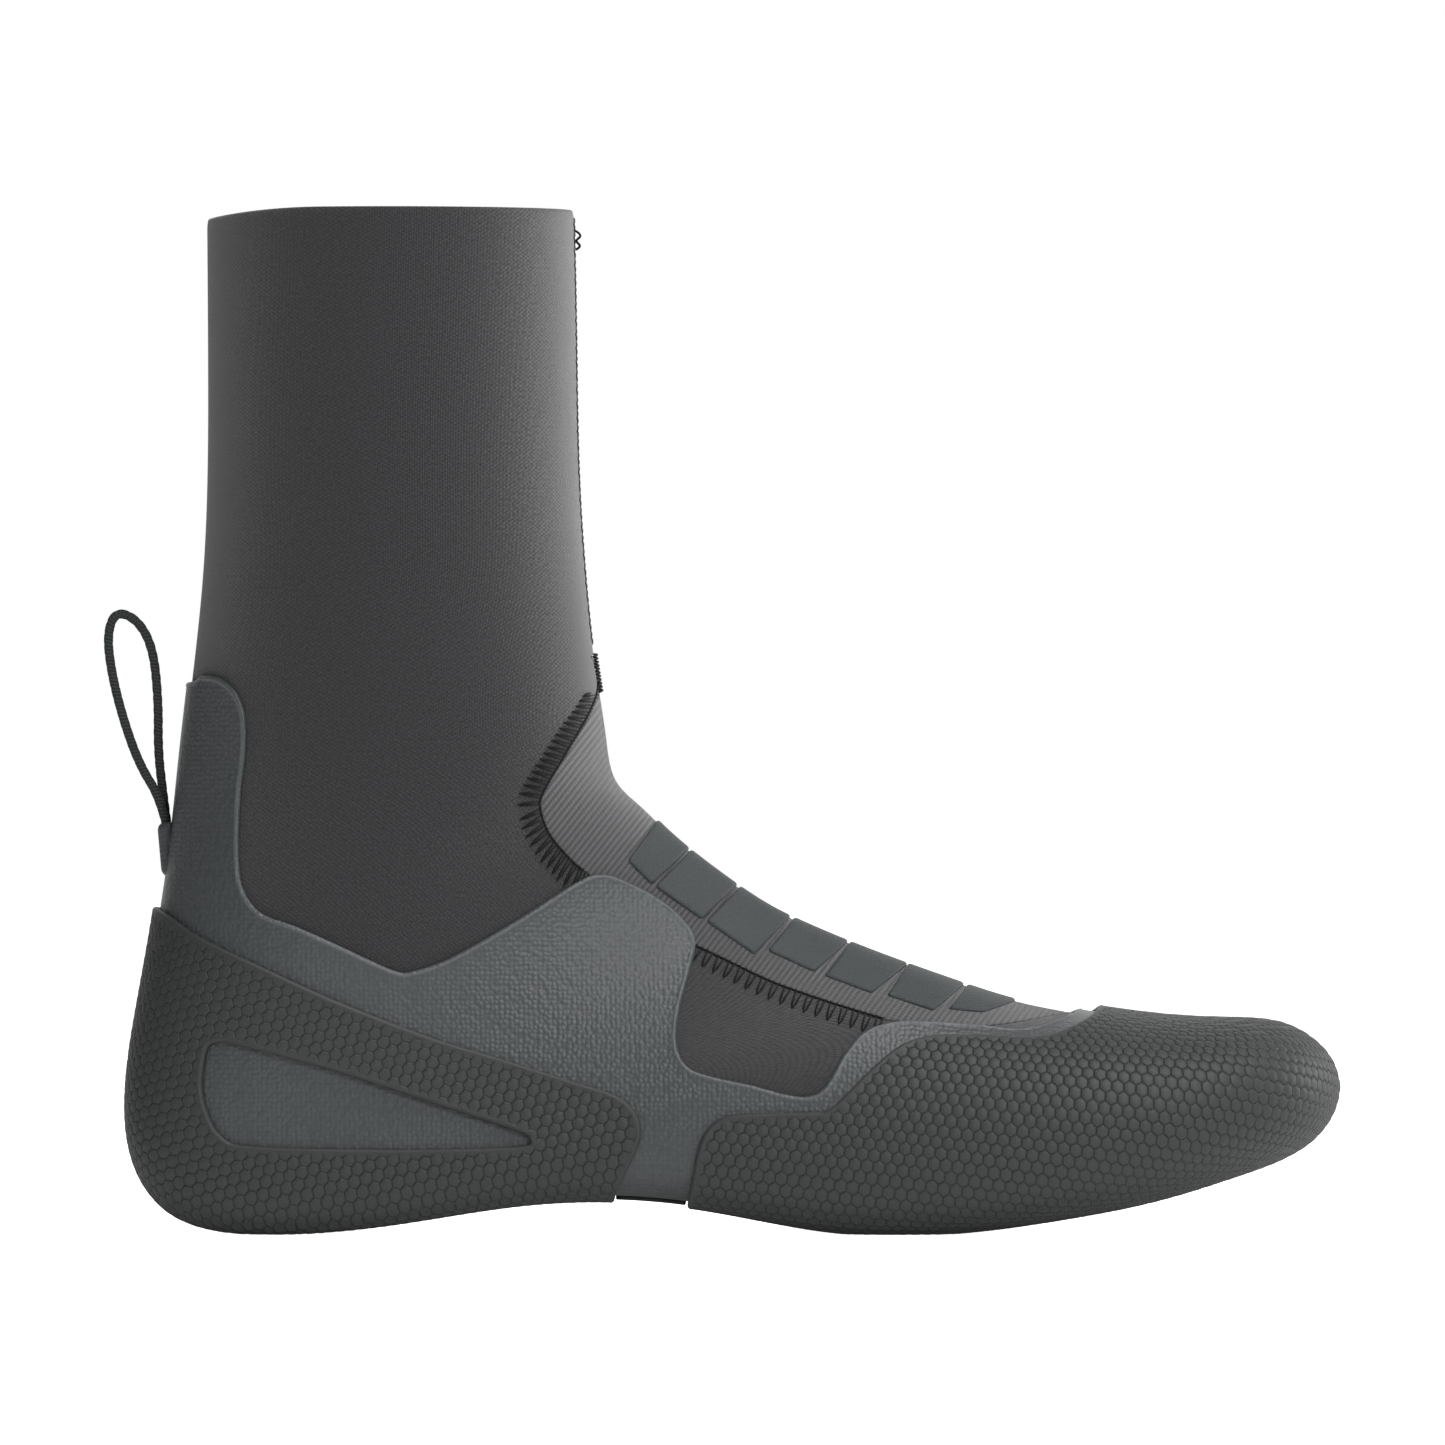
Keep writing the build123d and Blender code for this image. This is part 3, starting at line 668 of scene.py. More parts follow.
# %% [markdown]
# ## The rubber overlay, caps and pads
# The overlay is a thin moulded skin with a raised bead along its edge.  The caps on heel and toe
# are thicker and carry a field of small domed hexagons that wrap round the foot.  Their rows
# follow the outline of the sole, so each point of a cap is first given its distance round that
# outline and up or down from the widest line, and the hexagons are set out on that map.

# %% Distance round and above the outline of the foot
def plan_outline():
    """The widest line of the foot seen from above, as points, distances along it and heights."""
    s, turn = np.meshgrid(np.linspace(95, LAST_LENGTH - 0.2, 500), np.linspace(0, 2 * pi, 361))
    p = last_point(s.ravel(), turn.ravel())
    p = p[p[:, 2] < 60]
    centre = np.array([0.0, 3.0])
    angle = np.arctan2(p[:, 1] - centre[1], p[:, 0] - centre[0])
    radius = np.hypot(p[:, 1] - centre[1], p[:, 0] - centre[0])
    bins = 300
    which = ((angle + pi) / (2 * pi) * bins).astype(int) % bins
    best = np.array([radius[which == k].argmax() for k in range(bins)])
    edge = np.array([p[which == k][best[k]] for k in range(bins)])
    for _ in range(3):
        edge = (np.roll(edge, 1, 0) + 2 * edge + np.roll(edge, -1, 0)) / 4
    return edge


widest_line = plan_outline()


def wrap_map(points, from_back):
    """Distance round the foot from the back or toe centre, and height along the surface."""
    start, end = widest_line, np.roll(widest_line, -1, 0)
    run = (end - start)[:, :2]
    length = np.linalg.norm(run, axis=1)
    along = np.concatenate([[0], np.cumsum(length)])
    tip = widest_line[:, 0].argmin() if from_back else widest_line[:, 0].argmax()
    around, height = np.empty(len(points)), np.empty(len(points))
    for first in range(0, len(points), 20000):
        q = points[first:first + 20000]
        rel = q[:, None, :2] - start[None, :, :2]
        t = np.clip((rel * run).sum(2) / length ** 2, 0, 1)
        off = ((rel - t[..., None] * run) ** 2).sum(2)
        near = off.argmin(1)
        pick = np.arange(len(q))
        inset, t = np.sqrt(off[pick, near]), t[pick, near]
        place = along[near] + t * length[near] - along[tip]
        total = along[-1]
        place = (place + total / 2) % total - total / 2
        z0 = start[near, 2] * (1 - t) + end[near, 2] * t
        rise = q[:, 2] - z0
        around[first:first + 20000] = abs(place)
        height[first:first + 20000] = z0 + np.sign(rise) * np.hypot(rise, inset)
    return around, height


def hexagons(u, v, pitch):
    """Distance inside the edge of the nearest hexagon, and from its centre."""
    row = pitch * 3 ** 0.5
    best = None
    for shift_u, shift_v in ((0, 0), (pitch / 2, row / 2)):
        a = (u - shift_u + pitch / 2) % pitch - pitch / 2
        b = (v - shift_v + row / 2) % row - row / 2
        size = np.hypot(a, b)
        if best is None:
            best = [size, a, b]
        else:
            nearer = size < best[0]
            best = [np.where(nearer, new, old) for new, old in zip((size, a, b), best)]
    _, a, b = best
    across = np.maximum(abs(a), np.maximum(abs(a / 2 + b * 3 ** 0.5 / 2),
                                           abs(a / 2 - b * 3 ** 0.5 / 2)))
    return pitch / 2 - across


HEEL_PITCH, TOE_PITCH = 2.9, 2.85
HEX_DEPTH = 0.26
GROOVE_HALF = 0.5


def scale_relief(pitch, tilt, from_back):
    """Moulded hexagons for a cap, low round the edge of each and domed in the middle."""
    def relief(d, marks):
        bare = last_point(marks[:, 0], marks[:, 1])
        around, height = wrap_map(bare, from_back)
        u = around * cos(radians(tilt)) - height * sin(radians(tilt))
        v = height * cos(radians(tilt)) + around * sin(radians(tilt))
        edge = hexagons(u, v, pitch)
        groove_and_painted_light = np.clip(1 - edge / GROOVE_HALF, 0, 1) ** 1.5
        rim = np.clip((d - 0.9) / 0.9, 0, 1)
        dome = 0.10 * np.clip(edge / (pitch / 2), 0, 1)
        # The rim mask also limits where the material paints shade in the hexagon grooves.
        return (-HEX_DEPTH * groove_and_painted_light + dome - 0.1) * rim, rim, np.stack([u, v], 1)
    return relief


def overlay_relief(d, _):
    """The moulded bead a little inside the cut edge of the overlay, whose mask paints a highlight
    along it.
    """
    bead = np.exp(-((d - 0.75) / 0.32) ** 2)
    return 0.2 * bead, bead, None


# %% Cut the overlay, caps, strip and pads
def overlay_field(points, normals):
    return surface_distance(points, normals, overlay_outline)


def toe_field(points, normals):
    return surface_distance(points, normals, toe_outline)


def heel_field(points, normals):
    return np.minimum(surface_distance(points, normals, heel_outline),
                      -surface_distance(points, normals, window_outline))


CAP_STEP, CAP_COLUMNS = 0.52, 460             # fine enough to mould a hexagon's groove
HEEL_TILT, TOE_TILT = -14, -7                # degrees that the rows rise towards the toe
INNER_KEEP = 0.58
overlay = cut_sheet("rubber_overlay_skin", HAIR, OVERLAY_OUT, overlay_field, 0.5,
                    s_range=(80.0, None), step=1.3, round_count=190, relief=overlay_relief,
                    lines=(0.55, 0.75, 0.95, 1.3))
heel_cap = cut_sheet("heel_cap_moulded", OVERLAY_OUT + HAIR, CAP_OUT, heel_field, 0.9,
                     s_range=(120.0, LAST_LENGTH * 0.86), step=CAP_STEP, round_count=CAP_COLUMNS,
                     relief=scale_relief(HEEL_PITCH, HEEL_TILT, True), floor=True)
toe_cap = cut_sheet("toe_cap_moulded", OVERLAY_OUT + HAIR, CAP_OUT, toe_field, 0.9,
                    s_range=(200.0, None), step=CAP_STEP, round_count=CAP_COLUMNS,
                    relief=scale_relief(TOE_PITCH, TOE_TILT, False), floor=True)
for piece in (heel_cap, toe_cap):
    thin_inner_face(piece, INNER_KEEP)

STRIP_X = (-27.8, -11.1)
STRIP_OUT = 2.2


def strip_field(points, _):
    return np.minimum(np.minimum(points[:, 0] - STRIP_X[0], STRIP_X[1] - points[:, 0]),
                      np.where(points[:, 2] < 14, 16.0 - abs(points[:, 1] - 1.5), -5.0))


arch_strip = cut_sheet("arch_strip_moulded", OVERLAY_OUT + HAIR, STRIP_OUT, strip_field, 0.4,
                       s_range=(180.0, None), step=1.0, round_count=260)
PAD_REACH, PAD_OUT = 7.0, 0.7
pads = []
for number, (rear_top, front_top, front_low, rear_low) in enumerate(PADS, start=1):
    outline = [rear_low]
    for base, tip in ((rear_low, rear_top), (front_low, front_top)):
        way = np.subtract(tip, base)
        outline.append(tuple(np.array(tip) + way / np.hypot(*way) * PAD_REACH))
    outline = np.array([*outline, front_low], float)

    def pad_field(points, normals, outline=outline):
        return surface_distance(points, normals, outline)

    pad = cut_sheet(f"instep_pad_{number}_moulded", HAIR, PAD_OUT, pad_field, 0.9,
                    s_range=(120.0, LAST_LENGTH * 0.9), step=0.9, round_count=300)
    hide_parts(f"instep_pad_{number}")
    pads.append(pad)
for piece, node, slot_name in ((overlay, "rubber_overlay", "overlay_rubber"),
                               (heel_cap, "heel_cap", "cap_rubber"),
                               (toe_cap, "toe_cap", "cap_rubber"),
                               (arch_strip, "arch_strip", "cap_rubber")):
    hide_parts(node)
    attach(piece, "foot")
for pad in pads:
    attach(pad, "foot")

# %% [markdown]
# ## Thread
# Overlock thread runs up the instep seam: open loops along the foot and a close slanted ladder
# at the throat.  A flat zigzag closes the sheet up the front of the shaft.  Thread is modelled
# stitch by stitch as small tubes laid on the surface, because a bump would not catch the light
# along its edge.

# %% Find the surface under a side-view point
probe_marks, probe_faces = grid_on_last(0.0, LAST_LENGTH, 2.0, 160)
probe_points = on_last(probe_marks[:, 0], probe_marks[:, 1], np.zeros(len(probe_marks)))
PROBE_AWAY = 200.0
probe = BVHTree.FromPolygons(probe_points.tolist(), probe_faces.tolist())


def side_spot(x, z, side, lift):
    """Point lift millimetres outside the last at a side-view place, or None past its outline."""
    start, way = Vector((x, side * PROBE_AWAY, z)), Vector((0, -side, 0))
    hit, normal, _, _ = probe.ray_cast(start, way)
    if hit is None:
        return None
    if normal.y * side < 0:
        normal = -normal
    return (np.array(hit) + np.array(normal) * lift + SHIFT) * MM


def even_points(curve, pitch):
    """Points a pitch apart along a side curve, with the curve's direction there."""
    run = np.hypot(*np.diff(curve, axis=0).T)
    along = np.concatenate([[0], np.cumsum(run)])
    at = np.arange(0, along[-1], pitch)
    place = np.stack([np.interp(at, along, curve[:, k]) for k in (0, 1)], 1)
    ahead = np.stack([np.interp(at + 0.5, along, curve[:, k]) for k in (0, 1)], 1)
    behind = np.stack([np.interp(at - 0.5, along, curve[:, k]) for k in (0, 1)], 1)
    way = ahead - behind
    return place, way / np.hypot(*way.T)[:, None]


SEAM_TOP = 131.5     # above this the seam turns over the front edge, and rungs cross the front


def overlock(curve, pitch, reach, lean, lifts=(0.05, 0.26, 0.30, 0.26, 0.05)):
    """Loops of thread that leave the seam, reach across the knit and come back beside it."""
    paths = []
    for side in (-1, 1):
        place, way = even_points(curve, pitch)
        out = np.stack([-way[:, 1], way[:, 0]], 1)
        for number, (p, w, o) in enumerate(zip(place, way, out)):
            far = np.interp(number / len(place), (0, 0.3, 1), reach)
            spots = []
            for k, lift in enumerate(lifts):
                share = k / (len(lifts) - 1)
                q = (p - o * (far * sin(pi * share) ** 0.8 - 0.4)
                     + w * (lean * sin(pi * share) + 0.55 * pitch * share))
                spots.append(side_spot(q[0], q[1], side, lift))
            if p[1] < SEAM_TOP and all(spot is not None for spot in spots):
                paths.append(spots)
    return paths


def seam_lines(curve, lift):
    """The line of thread that runs along the seam itself, on both sides of the boot."""
    paths = []
    for side in (-1, 1):
        place, _ = even_points(curve, 1.0)
        place = place[place[:, 1] < SEAM_TOP + 1.0]
        spots = [side_spot(x, z, side, lift + 0.06 * (k % 2)) for k, (x, z) in enumerate(place)]
        spots = [spot for spot in spots if spot is not None]
        if len(spots) > 3:
            paths.append(spots)
    return paths


throat_curve = smooth_outline(THROAT_SEAM, closed=False)
instep_curve = smooth_outline(INSTEP_SEAM[1:7], closed=False)
throat_paths = overlock(throat_curve, 1.75, (2.6, 4.6, 6.4), 1.5)
instep_paths = overlock(instep_curve, 2.9, (4.2, 4.6, 4.8), -0.3)
print(len(throat_paths), "throat stitches,", len(instep_paths), "instep stitches")
THREAD = 0.27 * MM

# %% Close the two sides of the throat seam with rungs over the front edge
FRONT_RADIUS = 43.0
front_tries = np.linspace(0, 118, 600)
front_levels = last_point(front_tries, np.full(600, pi / 2))[:, 2]


def front_spot(z, aside, lift):
    """A point on the front of the shaft at a height, aside millimetres from its middle line."""
    s = front_tries[np.argmin(abs(front_levels - z))]
    spot = on_last(np.array([s]), np.array([pi / 2 - aside / FRONT_RADIUS]), lift)[0]
    return (spot + SHIFT) * MM


RUNG_WIDTH = 7.0
rung_paths = [[front_spot(z + 0.6 * share, (share - 0.5) * RUNG_WIDTH,
                          0.1 + 0.75 * sin(pi * share) ** 0.7) for share in np.linspace(0, 1, 9)]
              for z in np.arange(129.6, 138.6, 0.85)]
print(len(rung_paths), "rungs over the front")
throat_thread = tubes("throat_thread",
                      throat_paths + rung_paths + seam_lines(throat_curve, 0.12), THREAD)
instep_thread = tubes("instep_thread", instep_paths + seam_lines(instep_curve, 0.12), THREAD)

# %% The zigzag up the front of the shaft
front_paths = []
FRONT_WIDTH, FRONT_PITCH = 6.0, 1.65
FRONT_LOW, FRONT_TOP = 141.0, 243.8
for number in range(62):
    z = FRONT_LOW + number * FRONT_PITCH
    path = []
    for k in range(7):
        share = k / 6
        aside = (share - 0.5) * FRONT_WIDTH * (1 if number % 2 else -1)
        level = z + FRONT_PITCH * share
        path.append(front_spot(level, aside, 0.08 + 0.1 * sin(pi * share)))
    if level < FRONT_TOP:
        front_paths.append(path)
front_thread = tubes("front_seam_thread", front_paths, 0.22 * MM)

# %% A loose end of thread at the front of the cuff
END_ROUTE = [(-38.6, 0.4, 240.6), (-37.2, 0.2, 239.9), (-36.4, -0.3, 238.8), (-37.3, -0.6, 237.7),
             (-36.5, -0.5, 236.6), (-37.4, -0.2, 235.6)]
end_curve = smooth_curve(np.arange(len(END_ROUTE)), END_ROUTE)
end_path = (end_curve(np.linspace(0, len(END_ROUTE) - 1, 26)) + SHIFT) * MM
thread_end = tubes("cuff_thread_end", [end_path], 0.3 * MM)
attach(thread_end, "shaft")
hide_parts("throat_stitch_lateral", "throat_stitch_medial",
            "ankle_stitch_lateral", "ankle_stitch_medial")
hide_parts("instep_stitch_lateral", "instep_stitch_medial")
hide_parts("front_seam_stitching")
bend_at_ankle(throat_thread)
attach(instep_thread, "foot")
bend_at_ankle(front_thread)

# %% [markdown]
# ## The loop's anchor
# The cord comes out of a small rounded nub of rubber on the back of the heel.  It could be a
# capsule from the last, but a block with its edges bevelled round gives the moulded shape, and
# its length can be leaned to lie along the heel.

# %% Model the nub from a bevelled block
NUB_SIZE = (4.4, 7.6, 13.2)
NUB_LEAN = 5.0
NUB_PLACE = (np.array([-135.0, 0.0, 92.0]) + SHIFT) * MM
bpy.ops.object.select_all(action="DESELECT")
bpy.ops.mesh.primitive_cube_add(size=1, location=tuple(NUB_PLACE))
nub = bpy.context.object
nub.name = nub.data.name = "loop_anchor_nub"
nub.scale = tuple(q * MM for q in NUB_SIZE)
nub.rotation_euler = (0, radians(-NUB_LEAN), 0)
bpy.ops.object.transform_apply(location=True, rotation=True, scale=True)
bevel = nub.modifiers.new("moulded_edges", "BEVEL")
bevel.width, bevel.segments, bevel.limit_method = 2.0 * MM, 6, "ANGLE"
bpy.ops.object.modifier_apply(modifier=bevel.name)
nub.data.polygons.foreach_set("use_smooth", np.ones(len(nub.data.polygons), bool))
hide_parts("loop_anchor")
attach(nub, "foot")
print("nub", [round(q / MM, 1) for q in nub.dimensions], "mm")

# %% [markdown]
# ## Materials
# Colour alone doesn't make a material: knit, rubber and thread differ in how rough they are, how
# they catch light at a grazing angle, and in the tiny relief of stitch or grain.  The patterns
# that several materials share are node groups, each built once and given its own sizes.

# %% Small helpers to wire nodes
def node(tree, kind, **settings):
    made = tree.nodes.new(kind)
    for key, value in settings.items():
        setattr(made, key, value)
    return made


def feed(tree, socket, value):
    """Links a socket to another, or sets it to a plain value."""
    if isinstance(value, bpy.types.NodeSocket):
        tree.links.new(value, socket)
    else:
        socket.default_value = value


def sums(tree, operation, *values, clamp=False):
    made = node(tree, "ShaderNodeMath", operation=operation, use_clamp=clamp)
    for socket, value in zip(made.inputs, values):
        feed(tree, socket, value)
    return made.outputs[0]


def mix_colour(tree, share, first, second):
    made = node(tree, "ShaderNodeMix", data_type="RGBA")
    feed(tree, made.inputs["Factor"], share)
    feed(tree, made.inputs["A"], first)
    feed(tree, made.inputs["B"], second)
    return made.outputs["Result"]


def start_group(name, inputs, outputs):
    """A shader node group with named sockets; returns its tree, input and output nodes."""
    tree = bpy.data.node_groups.new(name, "ShaderNodeTree")
    for label, kind in inputs:
        tree.interface.new_socket(name=label, in_out="INPUT", socket_type=kind)
    for label, kind in outputs:
        tree.interface.new_socket(name=label, in_out="OUTPUT", socket_type=kind)
    return tree, node(tree, "NodeGroupInput"), node(tree, "NodeGroupOutput")


# %% Knit: columns of small V-shaped loops
knit_group, given, result = start_group(
    "knit_loops", [("Map", "NodeSocketVector"), ("Column", "NodeSocketFloat"),
                   ("Row", "NodeSocketFloat")], [("Height", "NodeSocketFloat")])
parts = node(knit_group, "ShaderNodeSeparateXYZ")
feed(knit_group, parts.inputs[0], given.outputs["Map"])
across = sums(knit_group, "DIVIDE", parts.outputs["X"], given.outputs["Column"])
rows = sums(knit_group, "DIVIDE", parts.outputs["Y"], given.outputs["Row"])
from_middle = sums(knit_group, "ABSOLUTE", sums(
    knit_group, "SUBTRACT", sums(knit_group, "FRACT", across), 0.5))
leg = sums(knit_group, "SUBTRACT", 1.0, sums(knit_group, "POWER", sums(
    knit_group, "ABSOLUTE", sums(knit_group, "MULTIPLY_ADD", from_middle, 4.0, -1.0)), 2.0))
staggered = sums(knit_group, "MULTIPLY_ADD", sums(knit_group, "FLOOR", across), 0.5, rows)
loop = sums(knit_group, "FRACT", sums(knit_group, "MULTIPLY_ADD", from_middle, 1.2, staggered))
bulge = sums(knit_group, "SUBTRACT", 1.0, sums(knit_group, "POWER", sums(
    knit_group, "ABSOLUTE", sums(knit_group, "MULTIPLY_ADD", loop, 2.0, -1.0)), 2.0))
feed(knit_group, result.inputs["Height"], sums(
    knit_group, "MULTIPLY", leg, sums(knit_group, "MULTIPLY_ADD", bulge, 0.7, 0.3)))

# %% Cross ribs: raised cords across the instep panel
rib_group, given, result = start_group(
    "cross_ribs", [("Map", "NodeSocketVector"), ("Pitch", "NodeSocketFloat"),
                   ("Slope", "NodeSocketFloat")], [("Height", "NodeSocketFloat")])
parts = node(rib_group, "ShaderNodeSeparateXYZ")
feed(rib_group, parts.inputs[0], given.outputs["Map"])
slanted = sums(rib_group, "SUBTRACT", sums(
    rib_group, "MULTIPLY", parts.outputs["X"], sums(rib_group, "SINE", given.outputs["Slope"])),
    sums(rib_group, "MULTIPLY", parts.outputs["Y"],
         sums(rib_group, "COSINE", given.outputs["Slope"])))
wave = sums(rib_group, "SINE", sums(rib_group, "MULTIPLY", sums(
    rib_group, "DIVIDE", slanted, given.outputs["Pitch"]), 2 * pi))
feed(rib_group, result.inputs["Height"], sums(rib_group, "MULTIPLY_ADD", wave, 0.5, 0.5))

# %% Pebble grain, and slow variation of tone
grain_group, given, result = start_group(
    "pebble_grain", [("Map", "NodeSocketVector"), ("Pebble", "NodeSocketFloat")],
    [("Height", "NodeSocketFloat"), ("Cell", "NodeSocketFloat")])
cells = node(grain_group, "ShaderNodeTexVoronoi", feature="SMOOTH_F1")
cells.inputs["Smoothness"].default_value = 0.2
cells.inputs["Randomness"].default_value = 0.55
feed(grain_group, cells.inputs["Vector"], given.outputs["Map"])
feed(grain_group, cells.inputs["Scale"], sums(grain_group, "DIVIDE", 1.0,
                                              given.outputs["Pebble"]))
feed(grain_group, result.inputs["Height"], sums(
    grain_group, "SUBTRACT", 1.0, cells.outputs["Distance"], clamp=True))
feed(grain_group, result.inputs["Cell"], cells.outputs["Color"])

tone_group, given, result = start_group(
    "slow_tone", [("Map", "NodeSocketVector"), ("Size", "NodeSocketFloat")],
    [("Tone", "NodeSocketFloat")])
cloud = node(tone_group, "ShaderNodeTexNoise")
cloud.inputs["Detail"].default_value = 3.0
feed(tone_group, cloud.inputs["Vector"], given.outputs["Map"])
feed(tone_group, cloud.inputs["Scale"], sums(tone_group, "DIVIDE", 1.0, given.outputs["Size"]))
feed(tone_group, result.inputs["Tone"], cloud.outputs["Fac"])


# %% Hexagon lines: how near a point is to the edge of its hexagon
hexagon_group, given, result = start_group(
    "hexagon_lines", [("Map", "NodeSocketVector"), ("Pitch", "NodeSocketFloat")],
    [("Line", "NodeSocketFloat")])
parts = node(hexagon_group, "ShaderNodeSeparateXYZ")
feed(hexagon_group, parts.inputs[0], given.outputs["Map"])
ROOT3 = 3 ** 0.5
lattices = []
for shift in (0.0, 0.5):
    u = sums(hexagon_group, "ADD", sums(hexagon_group, "DIVIDE", parts.outputs["X"],
                                        given.outputs["Pitch"]), 0.5 - shift)
    v = sums(hexagon_group, "ADD", sums(hexagon_group, "DIVIDE", sums(
        hexagon_group, "DIVIDE", parts.outputs["Y"], given.outputs["Pitch"]), ROOT3), 0.5 - shift)
    a = sums(hexagon_group, "ABSOLUTE", sums(hexagon_group, "SUBTRACT", sums(
        hexagon_group, "FLOORED_MODULO", u, 1.0), 0.5))
    b = sums(hexagon_group, "ABSOLUTE", sums(hexagon_group, "MULTIPLY", sums(
        hexagon_group, "SUBTRACT", sums(hexagon_group, "FLOORED_MODULO", v, 1.0), 0.5), ROOT3))
    lattices.append(sums(hexagon_group, "MAXIMUM", a, sums(
        hexagon_group, "MULTIPLY_ADD", a, 0.5, sums(hexagon_group, "MULTIPLY", b, ROOT3 / 2))))
inside = sums(hexagon_group, "SUBTRACT", 0.5, sums(hexagon_group, "MINIMUM", *lattices))
feed(hexagon_group, result.inputs["Line"], sums(
    hexagon_group, "SUBTRACT", 1.0, sums(hexagon_group, "DIVIDE", inside, 0.085), clamp=True))


def place_group(tree, group, **values):
    made = node(tree, "ShaderNodeGroup", node_tree=group)
    for label, value in values.items():
        feed(tree, made.inputs[label], value)
    return made


# %% A material's shared start and end
def start_material(name, roughness, sheen=0.0, specular=0.5):
    material = bpy.data.materials.new(name)
    material.use_nodes = True
    tree = material.node_tree
    shader = tree.nodes["Principled BSDF"]
    shader.inputs["Roughness"].default_value = roughness
    shader.inputs["Sheen Weight"].default_value = sheen
    shader.inputs["Sheen Roughness"].default_value = 0.45
    shader.inputs["Specular IOR Level"].default_value = specular
    return material, tree, shader


def object_place(tree):
    return node(tree, "ShaderNodeTexCoord").outputs["Object"]


def uv_place(tree, layer):
    return node(tree, "ShaderNodeUVMap", uv_map=layer).outputs["UV"]


def add_bump(tree, shader, height, distance, strength=1.0):
    bump = node(tree, "ShaderNodeBump")
    bump.inputs["Distance"].default_value = distance
    bump.inputs["Strength"].default_value = strength
    feed(tree, bump.inputs["Height"], height)
    feed(tree, shader.inputs["Normal"], bump.outputs["Normal"])


def knit_material(name, valley_shade_colour, crest_highlight_colour, column, row, relief, sheen):
    material, tree, shader = start_material(name, 0.85, sheen, 0.25)
    place = uv_place(tree, "around_and_along")
    loops = place_group(tree, knit_group, Map=place, Column=column, Row=row)
    tone = place_group(tree, tone_group, Map=object_place(tree), Size=0.03)
    fleck = place_group(tree, tone_group, Map=place, Size=0.0007)
    lift = sums(tree, "MULTIPLY", loops.outputs["Height"],
                sums(tree, "MULTIPLY_ADD", fleck.outputs["Tone"], 1.6, 0.1), clamp=True)
    # Painted shade in the knit's valleys and painted highlight on its crests, following the loops'
    # height.
    colour = mix_colour(tree, lift, valley_shade_colour, crest_highlight_colour)
    feed(tree, shader.inputs["Base Color"], mix_colour(
        tree, sums(tree, "MULTIPLY", tone.outputs["Tone"], 0.3), colour,
        tuple(0.55 * c for c in crest_highlight_colour[:3]) + (1,)))
    add_bump(tree, shader, lift, relief)
    return material


def rubber_material(name, colour, painted_light_colour, pebble, relief, roughness, specular=0.4):
    material, tree, shader = start_material(name, roughness, 0.0, specular)
    place = object_place(tree)
    grain = place_group(tree, grain_group, Map=place, Pebble=pebble)
    tone = place_group(tree, tone_group, Map=place, Size=0.04)
    groove_and_painted_light = node(tree, "ShaderNodeAttribute", attribute_name="groove_and_painted_light").outputs["Fac"]
    # Painted shade in the hollows between pebbles, darker where the grain is low.
    pebbles_with_painted_shade = mix_colour(tree, sums(tree, "MULTIPLY", grain.outputs["Height"], 0.9),
                          tuple(0.55 * c for c in colour[:3]) + (1,), colour)
    toned = mix_colour(tree, sums(tree, "MULTIPLY", tone.outputs["Tone"], 0.25), pebbles_with_painted_shade,
                       tuple(1.5 * c for c in colour[:3]) + (1,))
    # Painted highlight where the mask is set, along the overlay's bead.
    feed(tree, shader.inputs["Base Color"], mix_colour(tree, groove_and_painted_light, toned, painted_light_colour))
    feed(tree, shader.inputs["Roughness"], sums(tree, "MULTIPLY_ADD", tone.outputs["Tone"],
                                                0.12, roughness - 0.06))
    add_bump(tree, shader, grain.outputs["Height"], relief)
    return material


def cap_material(name, pitch, colour, groove_shade_colour):
    """Matt rubber with a crisp dark line of painted shade in the groove round each moulded hexagon.
    """
    material, tree, shader = start_material(name, 0.56, 0.0, 0.42)
    place = object_place(tree)
    grain = place_group(tree, grain_group, Map=place, Pebble=0.0004)
    tone = place_group(tree, tone_group, Map=place, Size=0.04)
    rim = node(tree, "ShaderNodeAttribute", attribute_name="groove_and_painted_light").outputs["Fac"]
    hexagon = place_group(tree, hexagon_group, Map=uv_place(tree, "hexagon_map"), Pitch=pitch)
    line = sums(tree, "MULTIPLY", hexagon.outputs["Line"], rim)
    toned = mix_colour(tree, sums(tree, "MULTIPLY", tone.outputs["Tone"], 0.3), colour,
                       tuple(1.35 * c for c in colour[:3]) + (1,))
    # Painted shade in the groove round each hexagon.
    feed(tree, shader.inputs["Base Color"], mix_colour(
        tree, sums(tree, "MULTIPLY", line, 0.5), toned, groove_shade_colour))
    feed(tree, shader.inputs["Roughness"], sums(tree, "MULTIPLY_ADD", tone.outputs["Tone"],
                                                0.12, 0.5))
    add_bump(tree, shader, sums(tree, "SUBTRACT", sums(
        tree, "MULTIPLY", grain.outputs["Height"], 0.2), line), 0.00018)
    return material


def thread_material(name, colour, twist):
    material, tree, shader = start_material(name, 0.8, 0.1, 0.2)
    place = node(tree, "ShaderNodeSeparateXYZ")
    feed(tree, place.inputs[0], uv_place(tree, "round_and_along"))
    turns = sums(tree, "ADD", place.outputs["X"], sums(tree, "DIVIDE", place.outputs["Y"], twist))
    ply = sums(tree, "ABSOLUTE", sums(tree, "SINE", sums(tree, "MULTIPLY", turns, 2 * pi)))
    # Painted shade between the twisted plies, darker where the ply relief is low.
    feed(tree, shader.inputs["Base Color"], mix_colour(
        tree, ply, tuple(0.35 * c for c in colour[:3]) + (1,), colour))
    add_bump(tree, shader, ply, 0.00012)
    return material


